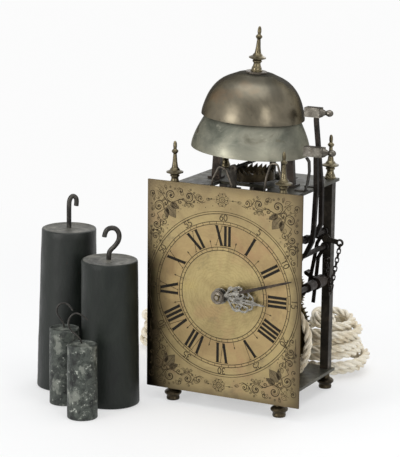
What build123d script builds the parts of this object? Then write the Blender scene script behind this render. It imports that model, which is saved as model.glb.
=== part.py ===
"""Lantern clock: brass dial, iron posted frame, two weight trains, verge escapement and two bells.

Millimetres, +Z up, front towards -Y, origin on the floor under the middle of the frame.
The going train stands behind the dial, the striking train behind it, and all arbors run
front to back, except the crown wheel's, which stands upright.
"""
from build123d import *
from math import atan2, cos, degrees, pi, radians, sin, tan
import os

# ---------------------------------------------------------------- fits
running_gap = 0.06
seat_gap = 0.02
air_gap = 0.4


def span_after(start, room, width):
    """The y span of a piece that stands a given room behind another."""
    return (start + room, start + room + width)


def mid(span):
    return (span[0] + span[1]) / 2


# ---------------------------------------------------------------- trains, from front to back
front_bar_y = -50.0
bar_thickness = 4.0
great_wheel_room = 2.0
great_wheel_thickness = 3.0
pulley_room = 3.0
pulley_width = 14.0
centre_wheel_room = 2.0
centre_wheel_thickness = 2.5
contrate_room = 8.5
contrate_disc = 1.4
crown_room = 7.6
middle_bar_room = 14.0
locking_wheel_room = 3.0
locking_wheel_thickness = 2.4
striking_pulley_room = 2.6
rear_bar_room = 6.0
warning_wheel_room = 17.0
warning_wheel_thickness = 2.0
count_wheel_room = 2.0
count_wheel_thickness = 2.4

front_face = front_bar_y - bar_thickness / 2
front_back = front_bar_y + bar_thickness / 2
going_wheel_y = span_after(front_back, great_wheel_room, great_wheel_thickness)
going_pulley_y = span_after(going_wheel_y[1], pulley_room, pulley_width)
centre_wheel_y = span_after(going_pulley_y[1], centre_wheel_room, centre_wheel_thickness)
contrate_disc_y = span_after(centre_wheel_y[1], contrate_room, contrate_disc)
crown_y = contrate_disc_y[1] + crown_room
middle_front = crown_y + middle_bar_room
middle_bar_y = middle_front + bar_thickness / 2
middle_back = middle_bar_y + bar_thickness / 2
locking_wheel_y = span_after(middle_back, locking_wheel_room, locking_wheel_thickness)
striking_pulley_y = span_after(locking_wheel_y[1], striking_pulley_room, pulley_width)
striking_wheel_y = span_after(striking_pulley_y[1], pulley_room, great_wheel_thickness)
rear_front = striking_wheel_y[1] + rear_bar_room
rear_bar_y = rear_front + bar_thickness / 2
rear_face = rear_bar_y + bar_thickness / 2
warning_wheel_y = span_after(rear_front, -warning_wheel_room, warning_wheel_thickness)
count_wheel_y = span_after(rear_face, count_wheel_room, count_wheel_thickness)

# ---------------------------------------------------------------- trains, from the floor up
great_height = 62.0
centre_rise = 56.9
contrate_rise = 53.1
locking_rise = 54.0
warning_rise = 37.8
fly_rise = 27.2
count_rise = 38.0
top_room = 47.0
verge_rise = 21.5
crown_drop = 17.0
potence_rise = 14.0

hand_height = great_height + centre_rise
contrate_height = hand_height + contrate_rise
locking_height = great_height + locking_rise
warning_height = locking_height + warning_rise
fly_height = warning_height + fly_rise
count_height = great_height + count_rise
potence_top = contrate_height + potence_rise

# ---------------------------------------------------------------- frame
plate_width = 135.0
plate_thickness = 3.0
plate_overhang = 12.5
foot_height = 18.0
post_side = 9.0
post_inset_x = 7.75
post_inset_y = 6.2
tenon_radius = 2.5
foot_tenon_length = 8.0
finial_tenon_length = 7.0
bar_width = 14.0
bar_tenon_width = 8.0
rope_hole_radius = 8.6
rope_hole_offset = 2.6
window_side = 31.0
slot_margin = 1.0
pivot_reach = 5.0

base_top = foot_height + plate_thickness
top_under = contrate_height + top_room
top_top = top_under + plate_thickness
movement_height = top_under - base_top
plate_front = front_bar_y - plate_overhang
plate_back = rear_bar_y + plate_overhang
plate_edge = plate_width / 2
post_x = plate_edge - post_inset_x
front_post_y = plate_front + post_inset_y
rear_post_y = plate_back - post_inset_y
front_window = (front_bar_y + 10.0, contrate_disc_y[0])
rear_window = (striking_pulley_y[0] - 2.0, rear_bar_y - 8.0)
verge_height = top_top + verge_rise
crown_bottom = verge_height - crown_drop

# ---------------------------------------------------------------- dial and hands
dial_width = 169.8
dial_height = 214.0
dial_thickness = 2.0
dial_below_hands = 105.1
dial_clearance = 1.8
dial_foot_radius = 1.8
dial_foot_insets = (28.2, 191.2)
dial_hole_radius = 6.5
minute_angle = 72.5
hour_angle = 95.2
minute_reach = 83.4
hour_reach = 48.9
hand_thickness = 1.2
hour_hand_room = 4.1
hand_spacing = 5.0
arbor_nose = 4.6

dial_bottom = hand_height - dial_below_hands
dial_foot_heights = [dial_bottom + inset for inset in dial_foot_insets]
dial_back_y = plate_front - dial_clearance
dial_front_y = dial_back_y - dial_thickness
hour_hand_y = dial_front_y - hour_hand_room
minute_hand_y = hour_hand_y - hand_spacing
arbor_front_y = minute_hand_y - arbor_nose

# ---------------------------------------------------------------- motion work, in front of the front bar
cannon_leaves = 10
reverser_teeth = 30
reverser_leaves = 8
hour_teeth = 32
motion_drop = 22.0
cannon_pipe = 3.4
hour_pipe = 5.0
reverser_stud_radius = 2.0
cannon_room = 2.4
cannon_width = 3.0
reverser_width = 2.0
hour_wheel_room = 7.6
hour_wheel_width = 2.0

motion_module = 2 * motion_drop / (cannon_leaves + reverser_teeth)
cannon_y = (front_face - cannon_room - cannon_width, front_face - cannon_room)
reverser_y = (mid(cannon_y) - reverser_width / 2, mid(cannon_y) + reverser_width / 2)
hour_wheel_y = (front_face - hour_wheel_room - hour_wheel_width, front_face - hour_wheel_room)

# ---------------------------------------------------------------- wheels and arbors
arbor_radius = 2.0
great_arbor_radius = 3.0
fly_arbor_radius = 1.6
pivot_radius = 1.2
collet_radius = 5.0
hub_margin = 2.0
spoke_width = 4.5
wheel_rim = 5.0
great_rim = 10.5
pinion_margin = 0.5
wheel_tooth = 0.40
wheel_addendum = 0.80
wheel_dedendum = 1.10
leaf_tooth = 0.34
leaf_addendum = 0.75
leaf_dedendum = 1.05
going_great_teeth = 60
centre_pinion_leaves = 10
centre_teeth = 78
contrate_pinion_leaves = 6
contrate_teeth = 72
contrate_radius = 24.0
contrate_band = 1.1
crown_pinion_leaves = 6
crown_teeth = 29
crown_radius = 23.5
crown_band = 1.1
crown_height = 11.0
crown_floor = 1.4
crown_tooth_depth = 4.2
crown_pinion_length = 8.0
crown_pinion_overlap = 4.0
crown_arbor_radius = 1.3
striking_great_teeth = 66
locking_pinion_leaves = 8
locking_teeth = 56
warning_pinion_leaves = 7
warning_teeth = 48
fly_pinion_leaves = 6
fly_radius = 19.0
fly_vane = 1.0
count_teeth = 78
report_leaves = 8
hammer_pin_count = 13
hammer_pin_circle = 38.5
hammer_pin_radius = 1.4
hoop_radius = 24.0
hoop_wall = 1.6
hoop_height = 2.0
hoop_gap = 9.0
warning_pin_circle = 18.5
warning_pin_radius = 0.9
warning_pin_length = 4.0
count_stud_radius = 3.0
count_rim_radius = 30.0
count_rim_wall = 2.5
count_rim_height = 2.5
count_notch = 1.8
up = pi / 2
down = -pi / 2

# ---------------------------------------------------------------- verge and pendulum
cock_inset = 3.0
cock_thickness = 3.0
cock_half = 3.0
cock_foot = 6.5
cock_foot_height = 2.0
verge_radius = 1.8
pallet_angle = 48.0
pallet_thickness = 1.2
pallet_width = 6.4
pallet_gap = 0.8
pendulum_room = 5.5
pendulum_length = 157.0
rod_radius = 1.3
rod_boss_radius = 3.2
bob_radius = 12.0
bob_thickness = 10.0

pendulum_y = plate_back + pendulum_room
verge_front_cock_y = span_after(front_bar_y, cock_inset, cock_thickness)
verge_rear_cock_y = (rear_bar_y - cock_inset - cock_thickness, rear_bar_y - cock_inset)

# ---------------------------------------------------------------- ropes and pulleys
rope_diameter = 9.0
pulley_core = 30.0
pulley_flange = 35.0
pulley_flange_width = 1.4
pulley_hole = 6.5
pulley_hole_circle = 17.5
floor_gap = 0.7

rope_radius = pulley_core + rope_diameter / 2 + air_gap
rope_hole_x = rope_radius + rope_hole_offset

# ---------------------------------------------------------------- bells
stand_span = 40.5
stand_splay = 1.5
stand_shoulder = 12.0
stand_shoulder_drop = 46.0
stand_bend = 15.0
stand_bar = 8.5
stand_depth = 5.5
stand_height = 90.0
stand_foot = 7.0
bell_lean = 3.75
bell_wall = 2.7
lower_rim_radius = 60.0
lower_bell_height = 65.0
upper_rim_radius = 52.0
upper_bell_height = 44.0
bell_step = 12.4
lower_profile = ((0.975, 0.13), (0.90, 0.31), (0.79, 0.51), (0.61, 0.76), (0.41, 0.93))
upper_profile = ((0.962, 0.23), (0.894, 0.45), (0.77, 0.68), (0.58, 0.86), (0.40, 0.955))
stud_radius = 3.0
stud_neck = 1.9
stud_reach = 12.0
stud_tail = 7.0
stand_boss = 8.0
nut_radius = 6.0
nut_height = 4.0
washer_radius = 10.7
washer_thickness = 1.6
spacer_radius = 6.5

stand_crown = top_top + stand_height
lower_crown = stand_bar / 2 + washer_thickness + bell_wall
upper_crown = lower_crown + bell_step

# ---------------------------------------------------------------- hammers and levers
detent_rise = 2.0
lower_hammer_rise = 35.0
hammer_spacing = 16.0
lifting_rise = 16.1
hammer_arbor_radius = 2.6
hammer_bar = 4.2
hammer_boss = 4.2
tail_width = 3.6
tail_thickness = 1.6
upper_hammer_y = 0.0
lower_hammer_y = -18.0
upper_tail_room = 1.6
lower_tail_room = 4.2
head_height = 9.5
head_ball_seat = 0.1
head_overlap = 12.0
upper_head_gap = 4.5
upper_head_length = 11.4
upper_head_block = 5.0
upper_head_drop = 13.5
lower_head_gap = 4.6
lower_head_length = 12.0
lower_head_block = 8.0
lower_head_drop = 49.5
stem_clearance = 7.9
lever_y = 48.7
lever_thickness = 1.6
lever_width = 5.0
lever_boss = 4.6
stud_of_lever = 1.8
stud_head_radius = 3.2
stud_head = 1.3
stud_play = 0.3
eye_radius = 2.1
eye_boss = 4.0
link_wire = 1.0
link_length = 7.0
long_link = 9.0
link_width = 4.6
link_play = 0.2
eye_play = 0.5
chain_link_count = 10
chain_lean = 9.0
chain_ring_radius = 4.0
ring_under_link = 0.3
return_y = 45.5
return_link_count = 6
peg_offset = 3.55
peg_radius = 0.9
peg_length = 1.6
peg_play = 0.1

detent_height = locking_height + detent_rise
lower_hammer_height = detent_height + lower_hammer_rise
upper_hammer_height = lower_hammer_height + hammer_spacing
repeat_height = mid((lower_hammer_height, upper_hammer_height))
lifting_height = hand_height + lifting_rise
right_arbors = (upper_hammer_height, lower_hammer_height, detent_height)
left_arbors = (lifting_height,)
upper_tail_y = striking_wheel_y[1] + upper_tail_room
lower_tail_y = striking_wheel_y[1] + lower_tail_room
upper_face = upper_rim_radius + upper_head_gap
lower_face = lower_rim_radius + lower_head_gap
upper_head = (upper_face + upper_head_length, stand_crown - upper_head_drop)
lower_head = (lower_face + lower_head_length, stand_crown - lower_head_drop)
stem_x = plate_edge + stem_clearance
eye = (post_x + 15.75, repeat_height - 3.5)
link_pitch = link_length - 2 * link_wire - link_play

# Each outline below is a list of (x, z) points in the upright plane of its piece.
upper_stem = (
    (post_x, upper_hammer_height), (post_x + 10.75, upper_hammer_height + 5.5),
    (stem_x, upper_hammer_height + 18), (stem_x - 0.2, top_top),
    (upper_head[0], upper_head[1] - 8.5), upper_head,
)
lower_stem = (
    (post_x, lower_hammer_height), (post_x + 7.75, lower_hammer_height + 5),
    (stem_x - 1.1, lower_hammer_height + 19), (stem_x + 0.2, lower_hammer_height + 31),
    (stem_x + 2, top_top + 3), (lower_head[0], lower_head[1] - 8.5), lower_head,
)
upper_tail = (
    (post_x, upper_hammer_height), (post_x - 7.15, upper_hammer_height - 13),
    (post_x - 10.25, upper_hammer_height - 31), (43.5, great_height + 44),
)
lower_tail = (
    (post_x, lower_hammer_height), (post_x - 6.75, lower_hammer_height - 13),
    (post_x - 8.75, lower_hammer_height - 35), (48.5, great_height + 30),
)
count_finger = ((post_x, detent_height), (post_x - 13.75, detent_height - 1), (37.5, count_height + 22))
locking_arm = ((post_x, detent_height), (42, detent_height - 6), (hoop_radius + 5, locking_height))
warning_arm = ((post_x, detent_height), (50, detent_height - 12), (36, detent_height - 17))
going_arm = ((-post_x, lifting_height), (-44, lifting_height - 3), (-29, lifting_height - 11))
striking_arm = ((-post_x, lifting_height), (-44, lifting_height + 4), (-24.5, lifting_height + 6))
pull_arm = (
    (post_x - 10.75, repeat_height + 1), (post_x, repeat_height), (post_x + 8.25, repeat_height - 2), eye,
)

# ---------------------------------------------------------------- springs and wires on the top plate
spring_foot_height = 1.2
spring_blade = 1.2
spring_width = 5.0
spring_spacing = 5.0
wire_radius = 1.1
wire_bend = 3.5
left_hoop_y = -54.0
right_hoop_y = -46.0
left_hoop = ((-21, -2), (-18.5, 10), (-11.5, 24), (-4, 21), (2, 6), (3, -2))
right_hoop = ((34, -2), (36, 15), (41, 30), (48, 30), (52.5, 15), (55, -2))

# ---------------------------------------------------------------- turned outlines: (height, radius)
foot_outline = (
    (0, 6.4), (1.6, 6.8), (3.4, 6.4), (5.0, 7.0), (6.4, 8.6), (8.0, 8.8), (9.4, 7.6),
    (11.0, 5.2), (13.0, 4.2), (15.4, 4.2), (16.6, 5.4), (foot_height, 5.6),
)
finial_outline = (
    (0, 6.0), (1.2, 6.0), (2.0, 5.2), (3.6, 5.0), (5.0, 4.2), (7.2, 3.6), (8.6, 3.7), (9.6, 4.8),
    (10.6, 4.8), (11.4, 4.2), (13.0, 8.5), (14.2, 8.6), (15.6, 5.4), (17.0, 4.6), (18.4, 3.3),
    (24.2, 2.4), (32.0, 1.8), (33.6, 3.0), (34.6, 3.5), (35.8, 2.9), (37.0, 1.6),
    (39.6, 2.0), (42.6, 1.8), (44.4, 1.2), (45.0, 0.5),
)
head_ball_outline = (
    (0, 0), (4.4, 0), (2.0, 5.2), (2.6, 6.2), (3.4, 8.2), (3.4, 9.6), (2.6, 11.6), (1.4, 12.6), (0, 12.9),
)
knot_outline = ((0, 3.5), (1.6, 5.8), (4.6, 7.4), (8.0, 7.4), (11.4, 5.6), (13, 3.0))
striking_coil_outline = ((0, 39), (14, 41.5), (40, 41.5), (58, 38), (72, 28), (78, 14))

# ---------------------------------------------------------------- weights
# Each weight: x, y, height, foot radius and top radius.
large_weights = {
    "large_weight_left": (-180.8, -64.8, 167.0, 30.0, 28.5),
    "large_weight_right": (-111.0, -95.6, 148.0, 30.0, 28.8),
}
small_weights = {
    "small_weight_left": (-150.2, -120.2, 78.0, 15.4, 15.0),
    "small_weight_right": (-109.7, -153.7, 75.0, 15.2, 14.7),
}
large_hook_wire = 1.9
small_hook_wire = 0.9
shoulder_share = 0.06
hook_direction = (0.89, 0.457)

# Each hook: its points (sideways, above the weight's top) and the radius of its bends.
hooks = {
    "large_weight_left": (((0, -8), (0, 34), (7.5, 34), (7.5, 24)), 3.7),
    "large_weight_right": (((0, -8), (0, 9), (9.5, 22), (9.5, 34), (-4.5, 34), (-4.5, 24)), 4.5),
    "small_weight_left": (((0, -6), (0, 4), (-8, 16), (-2, 25), (8, 21)), 2.5),
    "small_weight_right": (((0, -6), (0, 3), (-13, 17), (-8, 30), (5, 25)), 2.5),
}

# ---------------------------------------------------------------- ropes: points of their middle lines
rope_z = rope_diameter / 2 + floor_gap
going_y = mid(going_pulley_y)
striking_y = mid(striking_pulley_y)
over = great_height + rope_radius
bend = 20.0
wrap_share = 0.96
corner_share = 0.45
knot_lift = 0.2
going_knot = (22, 64.9)
striking_knot = (-43, 71.8)
going_coil_middle = (-99, 111)
going_coil_size = (172, 62, 44)
going_coil_round = 12.0
striking_coil_middle = (36, 120)

going_route = (
    (22, 57, rope_z), (21, 18, rope_z), (rope_radius, going_y + bend, rope_z),
    (rope_radius, going_y, rope_z), (rope_radius, going_y, over),
    (-rope_radius, going_y, over), (-rope_radius, going_y, rope_z),
    (-rope_radius + 1, going_y + bend, rope_z), (-19, 20, rope_z), (-20, 58, rope_z),
    (-30, 79.4, rope_z),
)
striking_route = (
    (-42, 63.8, rope_z), (-rope_radius, striking_y + bend, rope_z), (-rope_radius, striking_y, rope_z),
    (-rope_radius, striking_y, over), (26, striking_y, over), (53, striking_y, 68), (50, striking_y, 36),
    (rope_radius + 1.5, striking_y + 1, 15), (rope_radius + 1.2, striking_y + 17, rope_z),
    (38, 66, rope_z + 3), (37, 78.3, rope_z + 6),
)


# ---------------------------------------------------------------- basic shapes
def front_plane(x, y, z):
    """A plane whose sketch is seen from the front: local x is X, local y is Z."""
    return Plane(origin=(x, y, z), x_dir=(1, 0, 0), z_dir=(0, -1, 0))


def rod_y(radius, y0, y1, x, z):
    """A round rod along Y."""
    return extrude(front_plane(x, y1, z) * Circle(radius), y1 - y0)


def rod_z(radius, z0, z1, x, y):
    """A round rod along Z."""
    return extrude(Plane((x, y, z0)) * Circle(radius), z1 - z0)


def block(x0, x1, y0, y1, z0, z1):
    """A box between six planes."""
    return Pos((x0 + x1) / 2, (y0 + y1) / 2, (z0 + z1) / 2) * Box(x1 - x0, y1 - y0, z1 - z0)


def turned(outline, x, y, z):
    """A turned piece from (height, radius) points, standing at x, y, z."""
    points = [(0, outline[0][0])] + [(r, h) for h, r in outline] + [(0, outline[-1][0])]
    section = make_face(Plane.XZ * Polyline(*points, close=True))
    return Pos(x, y, z) * revolve(section, Axis.Z)


def strip(points, width, y, depth):
    """A forged bar that follows points (x, z) in the upright plane at y."""
    path = Polyline(*points)
    return extrude(front_plane(0, y + depth / 2, 0) * trace(path, width), depth)


def swept_wire(points, bend_radius, wire):
    """A round wire along points, with rounded corners."""
    path = FilletPolyline(*points, radius=bend_radius)
    start = Plane(origin=path @ 0, z_dir=path % 0)
    return sweep(start * Circle(wire), path=path, transition=Transition.ROUND)


def bore_of(radius):
    """The bore of a piece that is fixed on an arbor of this radius."""
    return radius + seat_gap


arbor_bore = bore_of(arbor_radius)
post_places = [(side * post_x, y) for y in (front_post_y, rear_post_y) for side in (-1, 1)]


# ---------------------------------------------------------------- gears
def toothed(teeth, module, tooth, addendum, dedendum, start):
    """A toothed disc: each tooth is a slim wedge with a narrow tip, tooth being its share of the pitch."""
    pitch_radius = teeth * module / 2
    root = pitch_radius - dedendum * module
    tip = pitch_radius + addendum * module
    step = 2 * pi / teeth
    root_half = step * (tooth + 0.12) / 2
    tip_half = step * (tooth - 0.20) / 2
    points = []
    for i in range(teeth):
        centre = start + i * step
        for radius, turn in ((root, -root_half), (tip, -tip_half), (tip, tip_half), (root, root_half)):
            points.append((radius * cos(centre + turn), radius * sin(centre + turn)))
    return make_face(Polyline(*points, close=True))


def crossings(outer, inner, spoke):
    """The four openings between a rim and a hub, with a spoke between each two."""
    opening = Circle(outer) - Circle(inner)
    for i in range(4):
        opening -= Rot(0, 0, 45 + 90 * i) * Pos(outer / 2, 0) * Rectangle(outer, spoke)
    return opening


def crossed_wheel(teeth, module, span, z, bore, start=0.0, rim=wheel_rim):
    """A wheel with crossings on the middle line, its teeth on the rim and its bore fitting the arbor."""
    root = module * teeth / 2 - wheel_dedendum * module
    outline = toothed(teeth, module, wheel_tooth, wheel_addendum, wheel_dedendum, start)
    outline = outline - crossings(root - rim, collet_radius + hub_margin, spoke_width) - Circle(bore)
    return extrude(front_plane(0, span[1], z) * outline, span[1] - span[0])


def pinion(leaves, module, span, z, start, margin=0.0):
    """The leaves of a pinion on the middle line, a margin longer at each end than the span."""
    outline = toothed(leaves, module, leaf_tooth, leaf_addendum, leaf_dedendum, start)
    return extrude(front_plane(0, span[1] + margin, z) * outline, span[1] - span[0] + 2 * margin)


def gap_start(leaves, towards):
    """The angle that puts a gap between two leaves in the given direction."""
    return towards + pi / leaves


def arbor(y0, y1, z, front=True, radius=arbor_radius):
    """An arbor between two bars, its shoulders clear of them; two pivots share the middle bar."""
    shared = bar_thickness / 2 - air_gap
    front_reach = shared if y0 == middle_back else bar_thickness
    rear_reach = shared if y1 == middle_front else bar_thickness
    piece = rod_y(radius, y0 + air_gap, y1 - air_gap, 0, z)
    if front:
        piece += rod_y(pivot_radius, y0 - front_reach, y0 + air_gap, 0, z)
    return piece + rod_y(pivot_radius, y1 - air_gap, y1 + rear_reach, 0, z)


def meshing(wheel_z, pinion_z, teeth, leaves):
    """The module with which a wheel and a pinion fill the distance between their arbors."""
    return 2 * abs(pinion_z - wheel_z) / (teeth + leaves)


going_module = meshing(great_height, hand_height, going_great_teeth, centre_pinion_leaves)
centre_module = meshing(hand_height, contrate_height, centre_teeth, contrate_pinion_leaves)
locking_module = meshing(great_height, locking_height, striking_great_teeth, locking_pinion_leaves)
warning_module = meshing(locking_height, warning_height, locking_teeth, warning_pinion_leaves)
fly_module = meshing(warning_height, fly_height, warning_teeth, fly_pinion_leaves)
report_module = meshing(great_height, count_height, count_teeth, report_leaves)
contrate_module = 2 * contrate_radius / contrate_teeth
crown_pinion_radius = contrate_module * crown_pinion_leaves / 2
contrate_pitch_y = crown_y - crown_pinion_radius
contrate_tip_y = contrate_pitch_y + 0.7 * contrate_module
contrate_root_y = contrate_pitch_y - 1.2 * contrate_module
going_tip = going_module * (going_great_teeth / 2 + wheel_addendum)
striking_tip = locking_module * (striking_great_teeth / 2 + wheel_addendum)


# ---------------------------------------------------------------- frame pieces
def bar_slot(y, z0, z1):
    """The slot in a plate that takes a movement bar's tenon."""
    half = bar_tenon_width / 2 + seat_gap
    depth = bar_thickness / 2 + seat_gap
    return block(-half, half, y - depth, y + depth, z0, z1)


def plate_blank(z0, z1):
    """A plate with the holes of the four posts and the slots of the three bars."""
    plate = block(-plate_edge, plate_edge, plate_front, plate_back, z0, z1)
    for x, y in post_places:
        plate -= rod_z(tenon_radius + seat_gap, z0, z1, x, y)
    for y in (front_bar_y, middle_bar_y, rear_bar_y):
        plate -= bar_slot(y, z0, z1)
    return plate


def base_plate():
    """The lower plate, with the rope holes and the slots that clear the great wheels."""
    plate = plate_blank(foot_height, base_top)
    for y in (going_y, striking_y):
        for side in (-1, 1):
            plate -= rod_z(rope_hole_radius, foot_height, base_top, side * rope_hole_x, y)
    for (low, high), radius in ((going_wheel_y, going_tip), (striking_wheel_y, striking_tip)):
        plate -= rod_y(radius + slot_margin, low - slot_margin, high + slot_margin, 0, great_height)
    return plate


def top_plate():
    """The upper plate, with a window over each train and the hole of the crown wheel's arbor."""
    plate = plate_blank(top_under, top_top)
    for low, high in (front_window, rear_window):
        plate -= block(-window_side, window_side, low, high, top_under, top_top)
    return plate - rod_z(arbor_radius + running_gap, top_under, top_top, 0, crown_y)


def corner_posts():
    """The four square posts, tenoned at both ends, with the holes of dial feet and lever arbors."""
    posts = []
    for x, y in post_places:
        post = Pos(x, y, base_top + movement_height / 2) * Box(post_side, post_side, movement_height)
        post += rod_z(tenon_radius, foot_height - foot_tenon_length, base_top, x, y)
        post += rod_z(tenon_radius, top_under, top_top + finial_tenon_length, x, y)
        if y < 0:
            for z in dial_foot_heights:
                post -= rod_y(dial_foot_radius + seat_gap, y - post_side, y + post_side, x, z)
        for z in (right_arbors if x > 0 else left_arbors):
            inner = y - post_side / 2 if y > 0 else y + post_side / 2
            post -= rod_y(pivot_radius + running_gap, inner - pivot_reach, inner + pivot_reach, x, z)
        posts.append(post)
    return posts


def feet():
    """The four turned feet, bored for the posts' lower tenons."""
    hole = foot_height - foot_tenon_length - air_gap
    return [
        turned(foot_outline, x, y, 0) - rod_z(bore_of(tenon_radius), hole, foot_height, x, y)
        for x, y in post_places
    ]


def post_finials():
    """The four turned finials, bored for the posts' upper tenons."""
    hole = top_top + finial_tenon_length + air_gap
    return [
        turned(finial_outline, x, y, top_top) - rod_z(bore_of(tenon_radius), top_top, hole, x, y)
        for x, y in post_places
    ]


def movement_bar(y, holes, bored=()):
    """An upright bar with a tenon at each end and the pivot holes of its arbors."""
    low, high = y - bar_thickness / 2, y + bar_thickness / 2
    bar = block(-bar_width / 2, bar_width / 2, low, high, base_top, top_under)
    half = bar_tenon_width / 2
    bar += block(-half, half, low, high, foot_height, base_top)
    bar += block(-half, half, low, high, top_under, top_top)
    for z in holes:
        bar -= rod_y(pivot_radius + running_gap, low - 1, high + 1, 0, z)
    for z, radius in bored:
        bar -= rod_y(radius, low - 1, high + 1, 0, z)
    return bar


def dial_plate():
    """The dial, with four feet that reach into the front posts."""
    half = dial_width / 2
    plate = block(-half, half, dial_front_y, dial_back_y, dial_bottom, dial_bottom + dial_height)
    plate -= rod_y(dial_hole_radius, dial_front_y - 1, dial_back_y + 1, 0, hand_height)
    reach = front_post_y + post_side / 2 + 2
    for side in (-1, 1):
        for z in dial_foot_heights:
            plate += rod_y(dial_foot_radius, mid((dial_front_y, dial_back_y)), reach, side * post_x, z)
    return plate


# ---------------------------------------------------------------- bells
def leaned(piece):
    """Bells and stud share one axis that leans a little to the right about the stand's crown."""
    return Pos(0, 0, stand_crown) * Rot(0, bell_lean, 0) * piece


def bell(rim_radius, height, crown_top, profile):
    """A bell cast as one shell; crown_top is the height of its crown above the stand's crown."""
    flat = washer_radius + 1
    rim_height = crown_top - height

    def side(radius, top):
        low = (radius, rim_height)
        points = [(radius * a, rim_height + (top - rim_height) * b) for a, b in profile]
        return Spline(low, *points, (flat, top), tangents=((-0.03, 1), (-1, 0.02)))

    inner_top = crown_top - bell_wall
    edges = [
        side(rim_radius, crown_top),
        Line((flat, crown_top), (0, crown_top)),
        Line((0, crown_top), (0, inner_top)),
        Line((0, inner_top), (flat, inner_top)),
        side(rim_radius - bell_wall, inner_top),
        Line((rim_radius - bell_wall, rim_height), (rim_radius, rim_height)),
    ]
    shell = revolve(Plane.XZ * make_face(edges), Axis.Z)
    return leaned(shell - rod_z(bore_of(stud_radius), inner_top - 1, crown_top + 1, 0, 0))


def bell_stand():
    """The arch that stands on the top plate; its crown is bossed and faced square to the stud."""
    shoulder = (stand_span - stand_splay, stand_crown - stand_shoulder_drop)
    foot = stand_span + stand_splay
    path = FilletPolyline(
        (-foot, top_top - 2), (-shoulder[0], shoulder[1]), (-stand_shoulder, stand_crown),
        (stand_shoulder, stand_crown), shoulder, (foot, top_top - 2), radius=stand_bend)
    path = Plane.XZ * path
    start = Plane(origin=path @ 0, x_dir=(0, 1, 0), z_dir=path % 0)
    arch = sweep(start * Rectangle(stand_depth, stand_bar), path=path)
    arch = arch & block(-2 * foot, 2 * foot, -20, 20, top_top, stand_crown + 20)
    foot_half = stand_depth / 2 + 3
    for x in (-foot, foot):
        arch += block(x - stand_foot, x + stand_foot, -foot_half, foot_half, top_top, top_top + 2)
    arch += leaned(rod_z(stand_boss, -stand_bar / 2, stand_bar / 2, 0, 0))
    arch -= leaned(block(-30, 30, -stand_boss, stand_boss, stand_bar / 2, 2 * stand_bar))
    arch -= leaned(block(-stand_boss, stand_boss, -stand_boss, stand_boss, -stand_bar, -stand_bar / 2))
    return arch - leaned(rod_z(bore_of(stud_radius), -20, 20, 0, 0))


def ring_on_stud(radius, z0, z1):
    """A washer or spacer on the bell stud."""
    return rod_z(radius, z0, z1, 0, 0) - rod_z(bore_of(stud_radius), z0, z1, 0, 0)


def bell_stud():
    """The stud with its nut, washers and the spacer that keeps the bells apart."""
    under = -stand_bar / 2
    top = upper_crown + washer_thickness
    stud = rod_z(stud_radius, under - stud_tail, top, 0, 0) + rod_z(stud_neck, top, top + stud_reach, 0, 0)
    nut = extrude(Plane((0, 0, under - nut_height)) * RegularPolygon(nut_radius, 6), nut_height)
    nut -= rod_z(bore_of(stud_radius), under - stud_tail, under, 0, 0)
    washer = ring_on_stud(washer_radius, stand_bar / 2, stand_bar / 2 + washer_thickness)
    spacer = ring_on_stud(spacer_radius, lower_crown, upper_crown - bell_wall)
    top_washer = ring_on_stud(washer_radius, upper_crown, top)
    return [leaned(piece) for piece in (stud, nut, washer, spacer, top_washer)]


def bell_finial():
    """The finial over the bells, bored for the neck of the stud."""
    base = upper_crown + washer_thickness
    hole = rod_z(bore_of(stud_neck), base, base + stud_reach + air_gap, 0, 0)
    return leaned(turned(finial_outline, 0, 0, base) - hole)


# ---------------------------------------------------------------- going train
def great_wheel(teeth, module, span, pins):
    """A great wheel, with the pins that lift the hammers if it is the striking train's."""
    wheel = crossed_wheel(teeth, module, span, great_height, bore_of(great_arbor_radius), up, great_rim)
    for i in range(pins):
        turn = 2 * pi * i / pins
        x = hammer_pin_circle * cos(turn)
        z = great_height + hammer_pin_circle * sin(turn)
        wheel += rod_y(hammer_pin_radius, span[1], rear_front - air_gap, x, z)
    return wheel


def rope_pulley(span):
    """A grooved pulley pinned to the great wheel's arbor, pierced with five holes."""
    low, high = span
    body = rod_y(pulley_core, low, high, 0, great_height)
    for y0, y1 in ((low, low + pulley_flange_width), (high - pulley_flange_width, high)):
        body += rod_y(pulley_flange, y0, y1, 0, great_height)
    for i in range(5):
        turn = 2 * pi * i / 5
        x = pulley_hole_circle * cos(turn)
        body -= rod_y(pulley_hole, low, high, x, great_height + pulley_hole_circle * sin(turn))
    return body - rod_y(bore_of(great_arbor_radius), low, high, 0, great_height)


def going_great_arbor():
    return arbor(front_back, middle_front, great_height, radius=great_arbor_radius)


def centre_arbor():
    """The centre arbor with its pinion, and the cannon pinion whose pipe reaches to the hands."""
    start = gap_start(centre_pinion_leaves, down)
    piece = arbor(front_back, middle_front, hand_height, front=False)
    piece += rod_y(arbor_radius, arbor_front_y, front_back + air_gap, 0, hand_height)
    piece += pinion(centre_pinion_leaves, going_module, going_wheel_y, hand_height, start, pinion_margin)
    pipe = rod_y(cannon_pipe, hour_hand_y - 3.4, cannon_y[1], 0, hand_height)
    pipe += pinion(cannon_leaves, motion_module, cannon_y, hand_height, gap_start(cannon_leaves, down))
    return [piece, pipe - rod_y(arbor_bore, arbor_front_y, front_face, 0, hand_height)]


def centre_wheel():
    return crossed_wheel(centre_teeth, centre_module, centre_wheel_y, hand_height, arbor_bore, up)


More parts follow.
